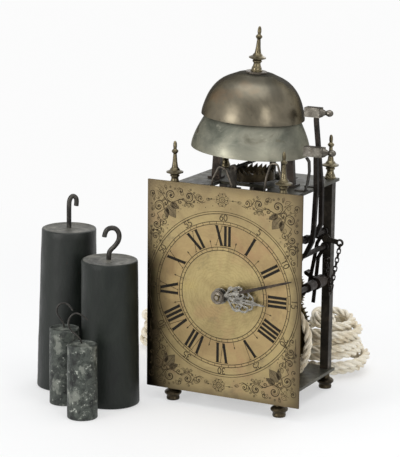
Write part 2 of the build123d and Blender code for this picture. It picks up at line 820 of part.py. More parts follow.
def reverser_wheel():
    """The wheel that the cannon pinion turns, and its pinion, which turns the hour wheel."""
    z = hand_height - motion_drop
    bore = reverser_stud_radius + running_gap
    wheel = crossed_wheel(reverser_teeth, motion_module, reverser_y, z, bore, up)
    leaf_span = (hour_wheel_y[0] - pinion_margin, reverser_y[0])
    leaves = pinion(reverser_leaves, motion_module, leaf_span, z, gap_start(reverser_leaves, up))
    return wheel + leaves - rod_y(bore, leaf_span[0] - 1, reverser_y[1], 0, z)


def hour_wheel():
    """The hour wheel, whose pipe turns on the cannon pinion's and carries the hour hand."""
    bore = cannon_pipe + running_gap
    wheel = crossed_wheel(hour_teeth, motion_module, hour_wheel_y, hand_height, bore, down)
    pipe = rod_y(hour_pipe, hour_hand_y - hand_thickness, hour_wheel_y[0], 0, hand_height)
    return wheel + pipe - rod_y(bore, hour_hand_y - 2, hour_wheel_y[1], 0, hand_height)


def lever_stud():
    """The headed stud of the pull lever, riveted into the rear right post."""
    face = rear_post_y - post_side / 2
    low = lever_y - lever_thickness / 2
    high = lever_y + lever_thickness / 2
    head = low - stud_play
    stud = rod_y(stud_of_lever, head - stud_head, face, post_x, repeat_height)
    stud += rod_y(stud_head_radius, head - stud_head, head, post_x, repeat_height)
    return stud + rod_y(stud_head_radius, high + stud_play, face, post_x, repeat_height)


def wheel_studs():
    """The fixed studs of the reverser wheel, the count wheel and the pull lever."""
    front = rod_y(reverser_stud_radius, hour_wheel_y[0] - 1.2, front_face, 0, hand_height - motion_drop)
    rear = rod_y(count_stud_radius, rear_face, count_wheel_y[1] + 3, 0, count_height)
    rear += rod_y(collet_radius, rear_face, count_wheel_y[0] - air_gap, 0, count_height)
    back = count_wheel_y[1]
    rear += rod_y(count_stud_radius + 1.2, back + air_gap, back + 1.6, 0, count_height)
    return [front, rear, lever_stud()]


def hand(reach, angle, y, hub, bore, blade, tail):
    """A hand with a pierced scroll near its hub and a blade to its tip."""
    outline = Circle(hub)
    root = reach * blade
    outline += Pos(root / 2 + hub / 2, 0) * Rectangle(root, 5.0)
    for side in (-1, 1):
        outline += Pos(hub + 5.5, side * 4.4) * (Circle(4.0) - Circle(1.9))
        outline += Pos(hub + 12.0, side * 3.2) * (Circle(3.0) - Circle(1.3))
    shoulder = reach * 0.93
    tip = Polyline((hub, 2.2), (shoulder, tail), (reach, 0), (shoulder, -tail), (hub, -2.2), close=True)
    outline = outline + make_face(tip) - Circle(bore)
    solid = extrude(Plane.XY * outline, hand_thickness)
    return front_plane(0, y, hand_height).location * Rot(0, 0, 90 - angle) * solid


def minute_hand():
    """The minute hand and the collar that holds it."""
    blade = hand(minute_reach, minute_angle, minute_hand_y, 6.0, arbor_bore, 0.22, 0.9)
    front = minute_hand_y - hand_thickness
    collar = rod_y(5.2, front - 1.8, front, 0, hand_height)
    return [blade, collar - rod_y(arbor_bore, arbor_front_y, minute_hand_y, 0, hand_height)]


def hour_hand():
    return hand(hour_reach, hour_angle, hour_hand_y, 8.0, bore_of(hour_pipe), 0.40, 2.4)


def contrate_arbor():
    """The contrate wheel's arbor with its pinion."""
    start = gap_start(contrate_pinion_leaves, down)
    leaves = pinion(contrate_pinion_leaves, centre_module, centre_wheel_y, contrate_height, start, 0.6)
    return arbor(front_back, middle_front, contrate_height) + leaves


def contrate_wheel():
    """A crown of teeth that face the rear, on a crossed disc."""
    outer = contrate_radius + contrate_band
    inner = contrate_radius - contrate_band
    low, high = contrate_disc_y
    disc = Circle(outer) - Circle(arbor_bore) - crossings(inner - 3, collet_radius, 3.0)
    wheel = extrude(front_plane(0, high, contrate_height) * disc, high - low)
    band = Circle(outer) - Circle(inner)
    wheel += extrude(front_plane(0, contrate_root_y, contrate_height) * band, contrate_root_y - high)
    width = 2 * pi * contrate_radius / contrate_teeth
    depth = contrate_tip_y - contrate_root_y
    root, tip = 0.22 * width, 0.09 * width
    side = make_face(Polyline((-root, 0), (-tip, depth), (tip, depth), (root, 0), close=True))
    tooth = Pos(0, 0, inner) * extrude(Plane.XY * side, outer - inner)
    turns = [360 / contrate_teeth * i for i in range(contrate_teeth)]
    return wheel + [Pos(0, contrate_root_y, contrate_height) * Rot(0, turn, 0) * tooth for turn in turns]


def crown_arbor():
    """The crown wheel's upright arbor with its pinion, standing in the potence."""
    pinion_low = contrate_height + contrate_radius - crown_pinion_overlap
    pinion_high = pinion_low + crown_pinion_length
    piece = rod_z(pivot_radius, potence_top - 5, potence_top + air_gap, 0, crown_y)
    piece += rod_z(crown_arbor_radius, potence_top + air_gap, pinion_high + 2, 0, crown_y)
    start = gap_start(crown_pinion_leaves, down)
    outline = toothed(crown_pinion_leaves, contrate_module, 0.30, 0.6, 1.0, start)
    piece += extrude(Plane((0, crown_y, pinion_low)) * outline, crown_pinion_length)
    return piece + rod_z(arbor_radius, pinion_high, crown_bottom + collet_radius - 1, 0, crown_y)


def crown_potence():
    """The bracket on the middle bar that carries the lower pivot of the crown wheel's arbor."""
    arm = block(-4, 4, crown_y - 4, middle_front, potence_top - 5, potence_top)
    arm += block(-6, 6, middle_front - 2.5, middle_front, potence_top - 10, potence_top + 8)
    return arm - rod_z(pivot_radius + running_gap, potence_top - 8, potence_top + 2, 0, crown_y)


def crown_wheel():
    """A cup whose upper edge is cut into saw teeth, on a crossed floor with a hub."""
    top = crown_bottom + crown_height
    base = Plane((0, crown_y, crown_bottom))
    bore = Circle(arbor_bore)
    wheel = extrude(base * (Circle(crown_radius) - Circle(crown_radius - crown_band)), crown_height)
    opening = crossings(crown_radius - 4, collet_radius + 1, 3.5)
    wheel += extrude(base * (Circle(crown_radius) - bore - opening), crown_floor)
    wheel += extrude(base * (Circle(collet_radius - 1) - bore), collet_radius - 1)
    pitch = 2 * pi * crown_radius / crown_teeth
    notch = Polyline(
        (-0.5 * pitch, 1), (-0.5 * pitch, 0), (0.36 * pitch, -crown_tooth_depth), (0.40 * pitch, 1),
        close=True)
    cutter = extrude(front_plane(0, -crown_radius - 2, 0) * make_face(notch), -4)
    turns = [360 / crown_teeth * i for i in range(crown_teeth)]
    return wheel - [Pos(0, crown_y, top) * Rot(0, 0, turn) * cutter for turn in turns]


# ---------------------------------------------------------------- verge and pendulum
def verge():
    """The verge: an arbor over the crown wheel with two pallets set about a right angle apart."""
    low = verge_front_cock_y[1] + air_gap
    piece = rod_y(verge_radius, low, pendulum_y + 4, 0, verge_height)
    piece += rod_y(pivot_radius, verge_front_cock_y[0], low, 0, verge_height)
    reach = verge_height - (crown_bottom + crown_height) - pallet_gap
    half = pallet_width / 2
    for y, turn in ((crown_y - crown_radius, -pallet_angle), (crown_y + crown_radius, pallet_angle)):
        flag = block(-pallet_thickness / 2, pallet_thickness / 2, y - half, y + half, -reach, 0)
        piece += Pos(0, 0, verge_height) * Rot(0, turn, 0) * flag
    return piece


def escapement_cocks():
    """The cocks that carry the verge, and the bracket of the crown wheel's lower pivot."""
    cocks = [crown_potence()]
    for (y0, y1), radius in ((verge_front_cock_y, pivot_radius), (verge_rear_cock_y, verge_radius)):
        cock = block(-cock_half, cock_half, y0, y1, top_top, verge_height)
        cock += rod_y(cock_half + 0.6, y0, y1, 0, verge_height)
        cock += block(-cock_foot, cock_foot, y0 - 3, y1 + 3, top_top, top_top + cock_foot_height)
        cocks.append(cock - rod_y(radius + running_gap, y0 - 1, y1 + 1, 0, verge_height))
    return cocks


def pendulum_rod():
    """The rod, with the boss that fixes it on the verge."""
    bottom = verge_height - pendulum_length - bob_radius - 6
    rod = rod_z(rod_radius, bottom, verge_height + 3, 0, pendulum_y)
    boss = rod_z(rod_boss_radius, verge_height - 4, verge_height + 4, 0, pendulum_y)
    return rod + boss - rod_y(bore_of(verge_radius), pendulum_y - 5, pendulum_y + 5, 0, verge_height)


def pendulum_bob():
    """The lens-shaped bob, bored for the rod."""
    half = bob_thickness / 2
    mid_radius = bob_radius * 0.55
    section = Polyline(
        (0, -half), (mid_radius, -half * 0.86), (bob_radius, -0.8), (bob_radius, 0.8),
        (mid_radius, half * 0.86), (0, half), close=True)
    lens = revolve(Plane.XY * make_face(section), Axis.Y)
    bob = Pos(0, pendulum_y, verge_height - pendulum_length) * lens
    return bob - rod_z(bore_of(rod_radius), 0, verge_height, 0, pendulum_y)


# ---------------------------------------------------------------- striking train
def striking_great_arbor():
    """The arbor of the striking great wheel, with the pinion of report that turns the count wheel."""
    piece = arbor(middle_back, rear_front, great_height, radius=great_arbor_radius)
    piece += rod_y(pivot_radius, rear_front, count_wheel_y[1] + 1, 0, great_height)
    start = gap_start(report_leaves, up)
    return piece + pinion(report_leaves, report_module, count_wheel_y, great_height, start, 0.4)


def locking_arbor():
    start = gap_start(locking_pinion_leaves, down)
    leaves = pinion(
        locking_pinion_leaves, locking_module, striking_wheel_y, locking_height, start, pinion_margin)
    return arbor(middle_back, rear_front, locking_height) + leaves


def locking_wheel():
    """The locking wheel with its hoop, which has one gap for the detent."""
    high = locking_wheel_y[1]
    wheel = crossed_wheel(locking_teeth, warning_module, locking_wheel_y, locking_height, arbor_bore, up)
    hoop = Circle(hoop_radius) - Circle(hoop_radius - hoop_wall)
    hoop -= Pos(hoop_radius - 2, 0) * Rectangle(8, hoop_gap)
    return wheel + extrude(front_plane(0, high + hoop_height, locking_height) * hoop, hoop_height)


def warning_wheel():
    """The warning wheel with its pin, and the arbor that carries it."""
    start = gap_start(warning_pinion_leaves, down)
    piece = arbor(middle_back, rear_front, warning_height)
    piece += pinion(
        warning_pinion_leaves, warning_module, locking_wheel_y, warning_height, start, pinion_margin)
    wheel = crossed_wheel(warning_teeth, fly_module, warning_wheel_y, warning_height, arbor_bore, up)
    back = warning_wheel_y[1]
    pin = rod_y(warning_pin_radius, back, back + warning_pin_length, 0, warning_height - warning_pin_circle)
    return [piece, wheel + pin]


def fly():
    """The fly: a two-bladed vane on a light arbor."""
    start = gap_start(fly_pinion_leaves, down)
    low, high = fly_height - fly_vane / 2, fly_height + fly_vane / 2
    piece = arbor(middle_back, rear_front, fly_height, radius=fly_arbor_radius)
    piece += pinion(fly_pinion_leaves, fly_module, warning_wheel_y, fly_height, start, pinion_margin)
    return piece + block(-fly_radius, fly_radius, middle_back + 2.5, warning_wheel_y[0] - 2.5, low, high)


def count_wheel():
    """The count wheel: equal teeth below, and on its face a rim notched after 1, 2, 3 ... 12 blows."""
    bore = count_stud_radius + running_gap
    wheel = crossed_wheel(count_teeth, report_module, count_wheel_y, count_height, bore, down)
    rim = Circle(count_rim_radius) - Circle(count_rim_radius - count_rim_wall)
    blows = 0
    for hour in range(1, 13):
        blows += hour
        turn = 360 / count_teeth * blows
        rim -= Rot(0, 0, turn) * Pos(count_rim_radius - 1, 0) * Rectangle(6, count_notch)
    high = count_wheel_y[1] + count_rim_height
    return wheel + extrude(front_plane(0, high, count_height) * rim, count_rim_height)


# ---------------------------------------------------------------- hammers and levers
def cross_arbor(x, z):
    """An arbor between a front and a rear post, pivoted in both."""
    low = front_post_y + post_side / 2
    high = rear_post_y - post_side / 2
    piece = rod_y(hammer_arbor_radius, low + air_gap, high - air_gap, x, z)
    return piece + rod_y(pivot_radius, low - pivot_reach + 1, high + pivot_reach - 1, x, z)


def hammer_frame(height, y, stem, tail, tail_y):
    """A hammer's arbor with its cranked stem and the tail that the pins lift."""
    piece = cross_arbor(post_x, height)
    piece += rod_y(hammer_boss, y - 3.2, y + 3.2, post_x, height)
    piece += strip(stem, hammer_bar, y, hammer_bar)
    piece += rod_y(hammer_boss, tail_y - tail_thickness / 2, tail_y + tail_thickness / 2, post_x, height)
    return piece + strip(tail, tail_width, tail_y, tail_thickness)


def hammer_head(place, y, face_x, behind):
    """A forged hammer head: a block that tapers to a ball behind the stem, with an eye for the stem."""
    x, z = place
    length = x - face_x + behind
    body = Pos(face_x + length / 2, y, z) * Box(length, head_height, head_height)
    ball = revolve(Plane.XY * make_face(Polyline(*head_ball_outline, close=True)), Axis.Y)
    head = body + Pos(x + behind - head_ball_seat, y, z) * Rot(0, 0, -90) * ball
    eye_width = hammer_bar + 2 * seat_gap
    eye_height = head_overlap + seat_gap
    return head - Pos(x, y, z + seat_gap - eye_height / 2) * Box(eye_width, eye_width, eye_height)


def locking_detent():
    """The detent's arbor with its bosses, the count wheel finger and the locking and warning arms."""
    x, z = count_finger[-1]
    piece = cross_arbor(post_x, detent_height)
    piece += rod_y(6.5, 24, 41, post_x, detent_height)
    piece += rod_y(5.0, 4, 20, post_x, detent_height)
    piece += strip(count_finger, 4.0, rear_front + 2.0, 2.4)
    piece += rod_y(1.5, rear_front + 1, count_wheel_y[1] + 2, x, z)
    piece += strip(locking_arm, 4.0, locking_wheel_y[1] + 1.2, 1.4)
    return piece + strip(warning_arm, 4.6, 8, 2.4)


def lifting_lever():
    """The lifting piece: an arbor on the left with an arm to each train."""
    piece = cross_arbor(-post_x, lifting_height)
    piece += rod_y(lever_boss, -24, -16, -post_x, lifting_height)
    piece += strip(going_arm, 4.4, centre_wheel_y[1] + 2.4, 1.8)
    piece += rod_y(lever_boss, 33, 39, -post_x, lifting_height)
    return piece + strip(striking_arm, 4.4, warning_wheel_y[1] + 3.0, 1.8)


def repeat_lever():
    """The pull lever with its eye, on a stud in the rear right post."""
    y0, y1 = lever_y - lever_thickness / 2, lever_y + lever_thickness / 2
    lever = strip(pull_arm, lever_width, lever_y, lever_thickness)
    lever += rod_y(lever_boss, y0, y1, post_x, repeat_height)
    lever += rod_y(eye_boss, y0, y1, *eye)
    lever -= rod_y(eye_radius, y0, y1, *eye)
    return lever - rod_y(stud_of_lever + running_gap, y0, y1, post_x, repeat_height)


def chain_link(x, y, z, tilt, edgewise, length=link_length):
    """One oval link, its length upright: seen from the front as a loop, or edgewise."""
    loop = SlotOverall(length, link_width) - SlotOverall(length - 2 * link_wire, link_width - 2 * link_wire)
    solid = extrude(front_plane(0, 0, 0) * Rot(0, 0, 90) * loop, link_wire / 2, both=True)
    return Pos(x, y, z) * Rot(0, tilt, 0) * Rot(0, 0, 90 if edgewise else 0) * solid


def pull_link(i):
    """The place of one link of the chain that hangs from the eye: x and z of its middle."""
    tilt = radians(pull_tilt)
    last = i == chain_link_count - 1
    along = link_pitch * i + (long_link - link_length) / 2 * last
    top = eye[1] - eye_radius + eye_play + link_wire
    return eye[0] - along * sin(tilt), top - link_length / 2 - along * cos(tilt)


pull_tilt = degrees(atan2(chain_lean, chain_link_count * link_pitch))
last_link = pull_link(chain_link_count - 1)
ring_x = last_link[0] - (long_link / 2 - link_wire) * sin(radians(pull_tilt))
ring_height = last_link[1] - long_link / 2 * cos(radians(pull_tilt)) - ring_under_link
return_low = ring_height + ring_under_link + link_length / 2
return_top = return_low + link_pitch * (return_link_count - 1) + link_length / 2
upper_ring_height = return_top + chain_ring_radius - 2 * link_wire - link_play
peg_x = post_x + peg_offset
peg_height = upper_ring_height + chain_ring_radius - link_wire - peg_radius - peg_play


def pull_chain():
    """The links that hang from the eye; the last one is long and takes the bottom ring."""
    lengths = [link_length] * (chain_link_count - 1) + [long_link]
    links = []
    for i, length in enumerate(lengths):
        x, z = pull_link(i)
        links.append(chain_link(x, lever_y, z, pull_tilt, i % 2 == 0, length))
    return links


def return_chain():
    """The bottom ring and the links that go back up to a peg in the rear right post."""
    rise = return_top - return_low
    tilt = degrees(atan2(peg_x - ring_x, rise))
    links = []
    for i in range(return_link_count):
        x = ring_x + (peg_x - ring_x) * link_pitch * i / rise
        links.append(chain_link(x, return_y, return_low + link_pitch * i, tilt, i % 2 == 1))
    circle = Circle(chain_ring_radius) - Circle(chain_ring_radius - link_wire)
    ring = extrude(front_plane(0, 0, 0) * circle, link_wire / 2, both=True)
    links.append(Pos(ring_x, mid((lever_y, return_y)), ring_height) * Rot(0, 0, 90) * ring)
    links.append(Pos(peg_x, return_y, upper_ring_height) * ring)
    links.append(rod_y(peg_radius, return_y - peg_length, rear_post_y - post_side / 2, peg_x, peg_height))
    return links


def hammer_springs():
    """The springs that hold the hammers off the bells, riveted to the edge of the top plate."""
    bends = ((-2, 0.6), (0.4, 8), (2.2, 20), (1.6, 30), (-1.4, 34))
    points = [(plate_edge + dx, top_top + dz) for dx, dz in bends]
    blades = []
    for y in (lower_hammer_y, upper_hammer_y + spring_spacing):
        foot = block(plate_edge - 12, plate_edge, y - 3.5, y + 3.5, top_top, top_top + spring_foot_height)
        blades.append(foot + strip(points, spring_blade, y, spring_width))
    return blades


def spring_hoops():
    """Two bent wires that stand on the top plate behind the dial."""
    room = block(-plate_edge, plate_edge, plate_front, plate_back, top_top, stand_crown)
    hoops = []
    for y, points in ((left_hoop_y, left_hoop), (right_hoop_y, right_hoop)):
        wire = swept_wire([(x, y, top_top + h) for x, h in points], wire_bend, wire_radius)
        hoops.append(wire & room)
    return hoops


# ---------------------------------------------------------------- weights
def weight(place, hook_points, wire, bend_radius):
    """A cast weight with a slightly rounded shoulder and a wire hook let into its top."""
    x, y, height, foot_radius, top_radius = place
    edge = foot_radius * shoulder_share
    outline = (
        (0, foot_radius - edge), (edge, foot_radius),
        (height - edge, top_radius), (height, top_radius - edge),
    )
    body = turned(outline, x, y, 0)
    along, across = hook_direction
    points = [(x + along * a, y + across * a, height + b) for a, b in hook_points]
    socket = rod_z(bore_of(wire), height + hook_points[0][1], height, x, y)
    return [body - socket, swept_wire(points, bend_radius, wire)]


# ---------------------------------------------------------------- ropes
def corner_radii(route):
    """Each corner's arc: a share of the shorter run, divided by the tangent of half the turn."""
    radii = []
    for before, here, after in zip(route, route[1:], route[2:]):
        run_in = Vector(here) - Vector(before)
        run_out = Vector(after) - Vector(here)
        turn = radians(run_in.get_angle(run_out))
        radii.append(corner_share * min(run_in.length, run_out.length) / tan(turn / 2))
    return radii


def rope(route, wrap_corners):
    """A rope along its route; at the wrap corners it follows the pulley."""
    radii = corner_radii(route)
    for i in wrap_corners:
        radii[i] = wrap_share * rope_radius
    path = FilletPolyline(*route, radius=radii)
    return sweep(Plane(origin=path @ 0, z_dir=path % 0) * Circle(rope_diameter / 2), path=path)


def going_rope_coil():
    """The outer shape of the long loose coil behind the clock."""
    length, width, height = going_coil_size
    solid = extrude(Plane((*going_coil_middle, 0)) * SlotOverall(length, width), height)
    return fillet(solid.edges().group_by(Axis.Z)[-1], going_coil_round)


def rope_knots():
    return [turned(knot_outline, *place, knot_lift) for place in (going_knot, striking_knot)]


# ---------------------------------------------------------------- assembly
def write(name, piece):
    """Write one piece, or a list of pieces, as one STEP file."""
    pieces = piece if isinstance(piece, list) else [piece]
    solids = [solid for each in pieces for solid in each.solids()]
    shape = solids[0] if len(solids) == 1 else Compound(children=solids)
    shape.label = name
    export_step(shape, f"parts/{name}.step")


def main():
    os.makedirs("parts", exist_ok=True)
    striking_pivots = (great_height, locking_height, warning_height, fly_height)
    centre_hole = (hand_height, arbor_radius + running_gap)
    nodes = {
        "base_plate": base_plate(),
        "top_plate": top_plate(),
        "corner_posts": corner_posts(),
        "feet": feet(),
        "post_finials": post_finials(),
        "front_bar": movement_bar(front_bar_y, (great_height, contrate_height), (centre_hole,)),
        "middle_bar": movement_bar(middle_bar_y, (hand_height, contrate_height, *striking_pivots)),
        "rear_bar": movement_bar(rear_bar_y, striking_pivots),
        "dial_plate": dial_plate(),
        "bell_stand": bell_stand(),
        "bell_stud": bell_stud(),
        "lower_bell": bell(lower_rim_radius, lower_bell_height, lower_crown, lower_profile),
        "upper_bell": bell(upper_rim_radius, upper_bell_height, upper_crown, upper_profile),
        "bell_finial": bell_finial(),
        "escapement_cocks": escapement_cocks(),
        "hammer_springs": hammer_springs(),
        "spring_hoops": spring_hoops(),
        "wheel_studs": wheel_studs(),
        "going_great_arbor": going_great_arbor(),
        "going_great_wheel": great_wheel(going_great_teeth, going_module, going_wheel_y, 0),
        "going_rope_pulley": rope_pulley(going_pulley_y),
        "centre_arbor": centre_arbor(),
        "centre_wheel": centre_wheel(),
        "minute_hand": minute_hand(),
        "hour_wheel": hour_wheel(),
        "hour_hand": hour_hand(),
        "reverser_wheel": reverser_wheel(),
        "contrate_arbor": contrate_arbor(),
        "contrate_wheel": contrate_wheel(),
        "crown_arbor": crown_arbor(),
        "crown_wheel": crown_wheel(),
        "verge": verge(),
        "pendulum_rod": pendulum_rod(),
        "pendulum_bob": pendulum_bob(),
        "striking_great_arbor": striking_great_arbor(),
        "striking_great_wheel": great_wheel(
            striking_great_teeth, locking_module, striking_wheel_y, hammer_pin_count),
        "striking_rope_pulley": rope_pulley(striking_pulley_y),
        "locking_arbor": locking_arbor(),
        "locking_wheel": locking_wheel(),
        "warning_wheel": warning_wheel(),
        "fly": fly(),
        "count_wheel": count_wheel(),
        "upper_hammer_arbor": hammer_frame(
            upper_hammer_height, upper_hammer_y, upper_stem, upper_tail, upper_tail_y),
        "upper_hammer_head": hammer_head(upper_head, upper_hammer_y, upper_face, upper_head_block),
        "lower_hammer_arbor": hammer_frame(
            lower_hammer_height, lower_hammer_y, lower_stem, lower_tail, lower_tail_y),
        "lower_hammer_head": hammer_head(lower_head, lower_hammer_y, lower_face, lower_head_block),
        "locking_detent": locking_detent(),
        "lifting_lever": lifting_lever(),
        "repeat_lever": repeat_lever(),
        "pull_chain": pull_chain(),
        "return_chain": return_chain(),
        "going_rope": rope(going_route, (3, 4)),
        "going_rope_coil": going_rope_coil(),
        "striking_rope": rope(striking_route, (2,)),
        "striking_rope_coil": turned(striking_coil_outline, *striking_coil_middle, 0),
        "rope_knots": rope_knots(),
    }
    for weights, wire in ((large_weights, large_hook_wire), (small_weights, small_hook_wire)):
        for name, place in weights.items():
            hook_points, bend_radius = hooks[name]
            nodes[name] = weight(place, hook_points, wire, bend_radius)
    for name, piece in nodes.items():
        write(name, piece)


main()
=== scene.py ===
"""Lantern clock: camera, light, ropes, engraving, hands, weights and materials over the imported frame."""
from math import cos, hypot, pi, radians, sin, sqrt, tau

import bpy
from mathutils import Matrix, Vector, noise


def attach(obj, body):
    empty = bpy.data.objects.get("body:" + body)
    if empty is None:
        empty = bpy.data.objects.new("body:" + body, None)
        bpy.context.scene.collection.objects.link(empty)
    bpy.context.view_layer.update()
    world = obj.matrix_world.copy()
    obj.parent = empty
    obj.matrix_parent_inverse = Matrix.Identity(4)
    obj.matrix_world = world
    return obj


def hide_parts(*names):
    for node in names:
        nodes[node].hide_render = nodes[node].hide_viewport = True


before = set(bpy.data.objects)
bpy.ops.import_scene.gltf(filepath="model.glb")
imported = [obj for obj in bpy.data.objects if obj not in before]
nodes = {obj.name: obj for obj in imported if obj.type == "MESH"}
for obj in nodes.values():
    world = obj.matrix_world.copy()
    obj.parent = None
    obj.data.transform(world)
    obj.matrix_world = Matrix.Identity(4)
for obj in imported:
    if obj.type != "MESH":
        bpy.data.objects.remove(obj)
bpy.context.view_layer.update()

# ---------------------------------------------------------------- camera and light
SCREEN_WHITE = 0.97
LENS = 161.3
CAMERA_PLACE = (0.87786, -1.82695, 0.62331)

scene = bpy.context.scene
scene.view_settings.view_transform = "Standard"
AZIMUTH, ELEVATION, ROLL = radians(27.17), radians(12.53), radians(0.62)
back = Vector((sin(AZIMUTH) * cos(ELEVATION), -cos(AZIMUTH) * cos(ELEVATION), sin(ELEVATION)))
right = Vector((0, 0, 1)).cross(back).normalized()
up = back.cross(right)
turned_right = cos(ROLL) * right + sin(ROLL) * up
turned_up = -sin(ROLL) * right + cos(ROLL) * up
camera_data = bpy.data.cameras.new("camera")
camera_data.lens = LENS
camera_data.sensor_width = 36.0
camera_data.clip_end = 20.0
camera = bpy.data.objects.new("camera", camera_data)
scene.collection.objects.link(camera)
pose = Matrix((turned_right, turned_up, back)).transposed().to_4x4()
pose.translation = CAMERA_PLACE
camera.matrix_world = pose
scene.camera = camera

world = bpy.data.worlds.new("studio")
scene.world = world
world.use_nodes = True
tree = world.node_tree
tree.nodes.clear()
output = tree.nodes.new("ShaderNodeOutputWorld")
pick = tree.nodes.new("ShaderNodeMixShader")
path = tree.nodes.new("ShaderNodeLightPath")
seen = tree.nodes.new("ShaderNodeBackground")
lit = tree.nodes.new("ShaderNodeBackground")
seen.inputs[0].default_value = (1, 1, 1, 1)
seen.inputs[1].default_value = SCREEN_WHITE
lit.inputs[0].default_value = (0.96, 0.98, 1, 1)
lit.inputs[1].default_value = 0.45


def seen_rays(tree, path):
    """One where a ray comes from the camera, a reflection or a transmission, and zero elsewhere."""
    found = path.outputs["Is Camera Ray"]
    for name in ("Is Glossy Ray", "Is Transmission Ray"):
        either = tree.nodes.new("ShaderNodeMath")
        either.operation = "MAXIMUM"
        tree.links.new(found, either.inputs[0])
        tree.links.new(path.outputs[name], either.inputs[1])
        found = either.outputs[0]
    return found


tree.links.new(seen_rays(tree, path), pick.inputs[0])
tree.links.new(lit.outputs[0], pick.inputs[1])
tree.links.new(seen.outputs[0], pick.inputs[2])
tree.links.new(pick.outputs[0], output.inputs[0])


def area_light(name, place, size, power, colour=(1, 1, 1), target=(0, 0, 0.15)):
    """A lamp of that width and height at place, in metres, which faces the target."""
    data = bpy.data.lights.new(name, "AREA")
    data.shape = "RECTANGLE"
    data.size, data.size_y = size
    data.energy = power
    data.color = colour
    lamp = bpy.data.objects.new(name, data)
    scene.collection.objects.link(lamp)
    lamp.location = place
    lamp.rotation_euler = (Vector(target) - Vector(place)).to_track_quat("-Z", "Y").to_euler()


area_light("key", (-0.75, -1.75, 0.62), (0.7, 0.9), 15, (1, 0.985, 0.96))
area_light("side", (1.5, -1.1, 0.75), (0.5, 1.0), 7, (1, 0.98, 0.95))
area_light("top", (0.1, -0.2, 1.9), (1.6, 1.6), 18, target=(0, 0, 0.1))
area_light("rear", (0.2, 1.7, 1.1), (1.6, 1.0), 8)


# ---------------------------------------------------------------- materials
NOISE_ROUGHNESS = 0.62
GRAIN_DETAIL = 5.0


def linear(rgb):
    """A colour given as sRGB from 0 to 255, as the shader's linear values."""
    return tuple(((v / 255 + 0.055) / 1.055) ** 2.4 if v > 10 else v / 255 / 12.92 for v in rgb) + (1.0,)


def grey(value):
    """A linear grey, also used as a share."""
    return (value,) * 3 + (1,)


def product(tree, one, other):
    """The product of two sockets."""
    node = tree.nodes.new("ShaderNodeMath")
    node.operation = "MULTIPLY"
    tree.links.new(one, node.inputs[0])
    tree.links.new(other, node.inputs[1])
    return node.outputs[0]


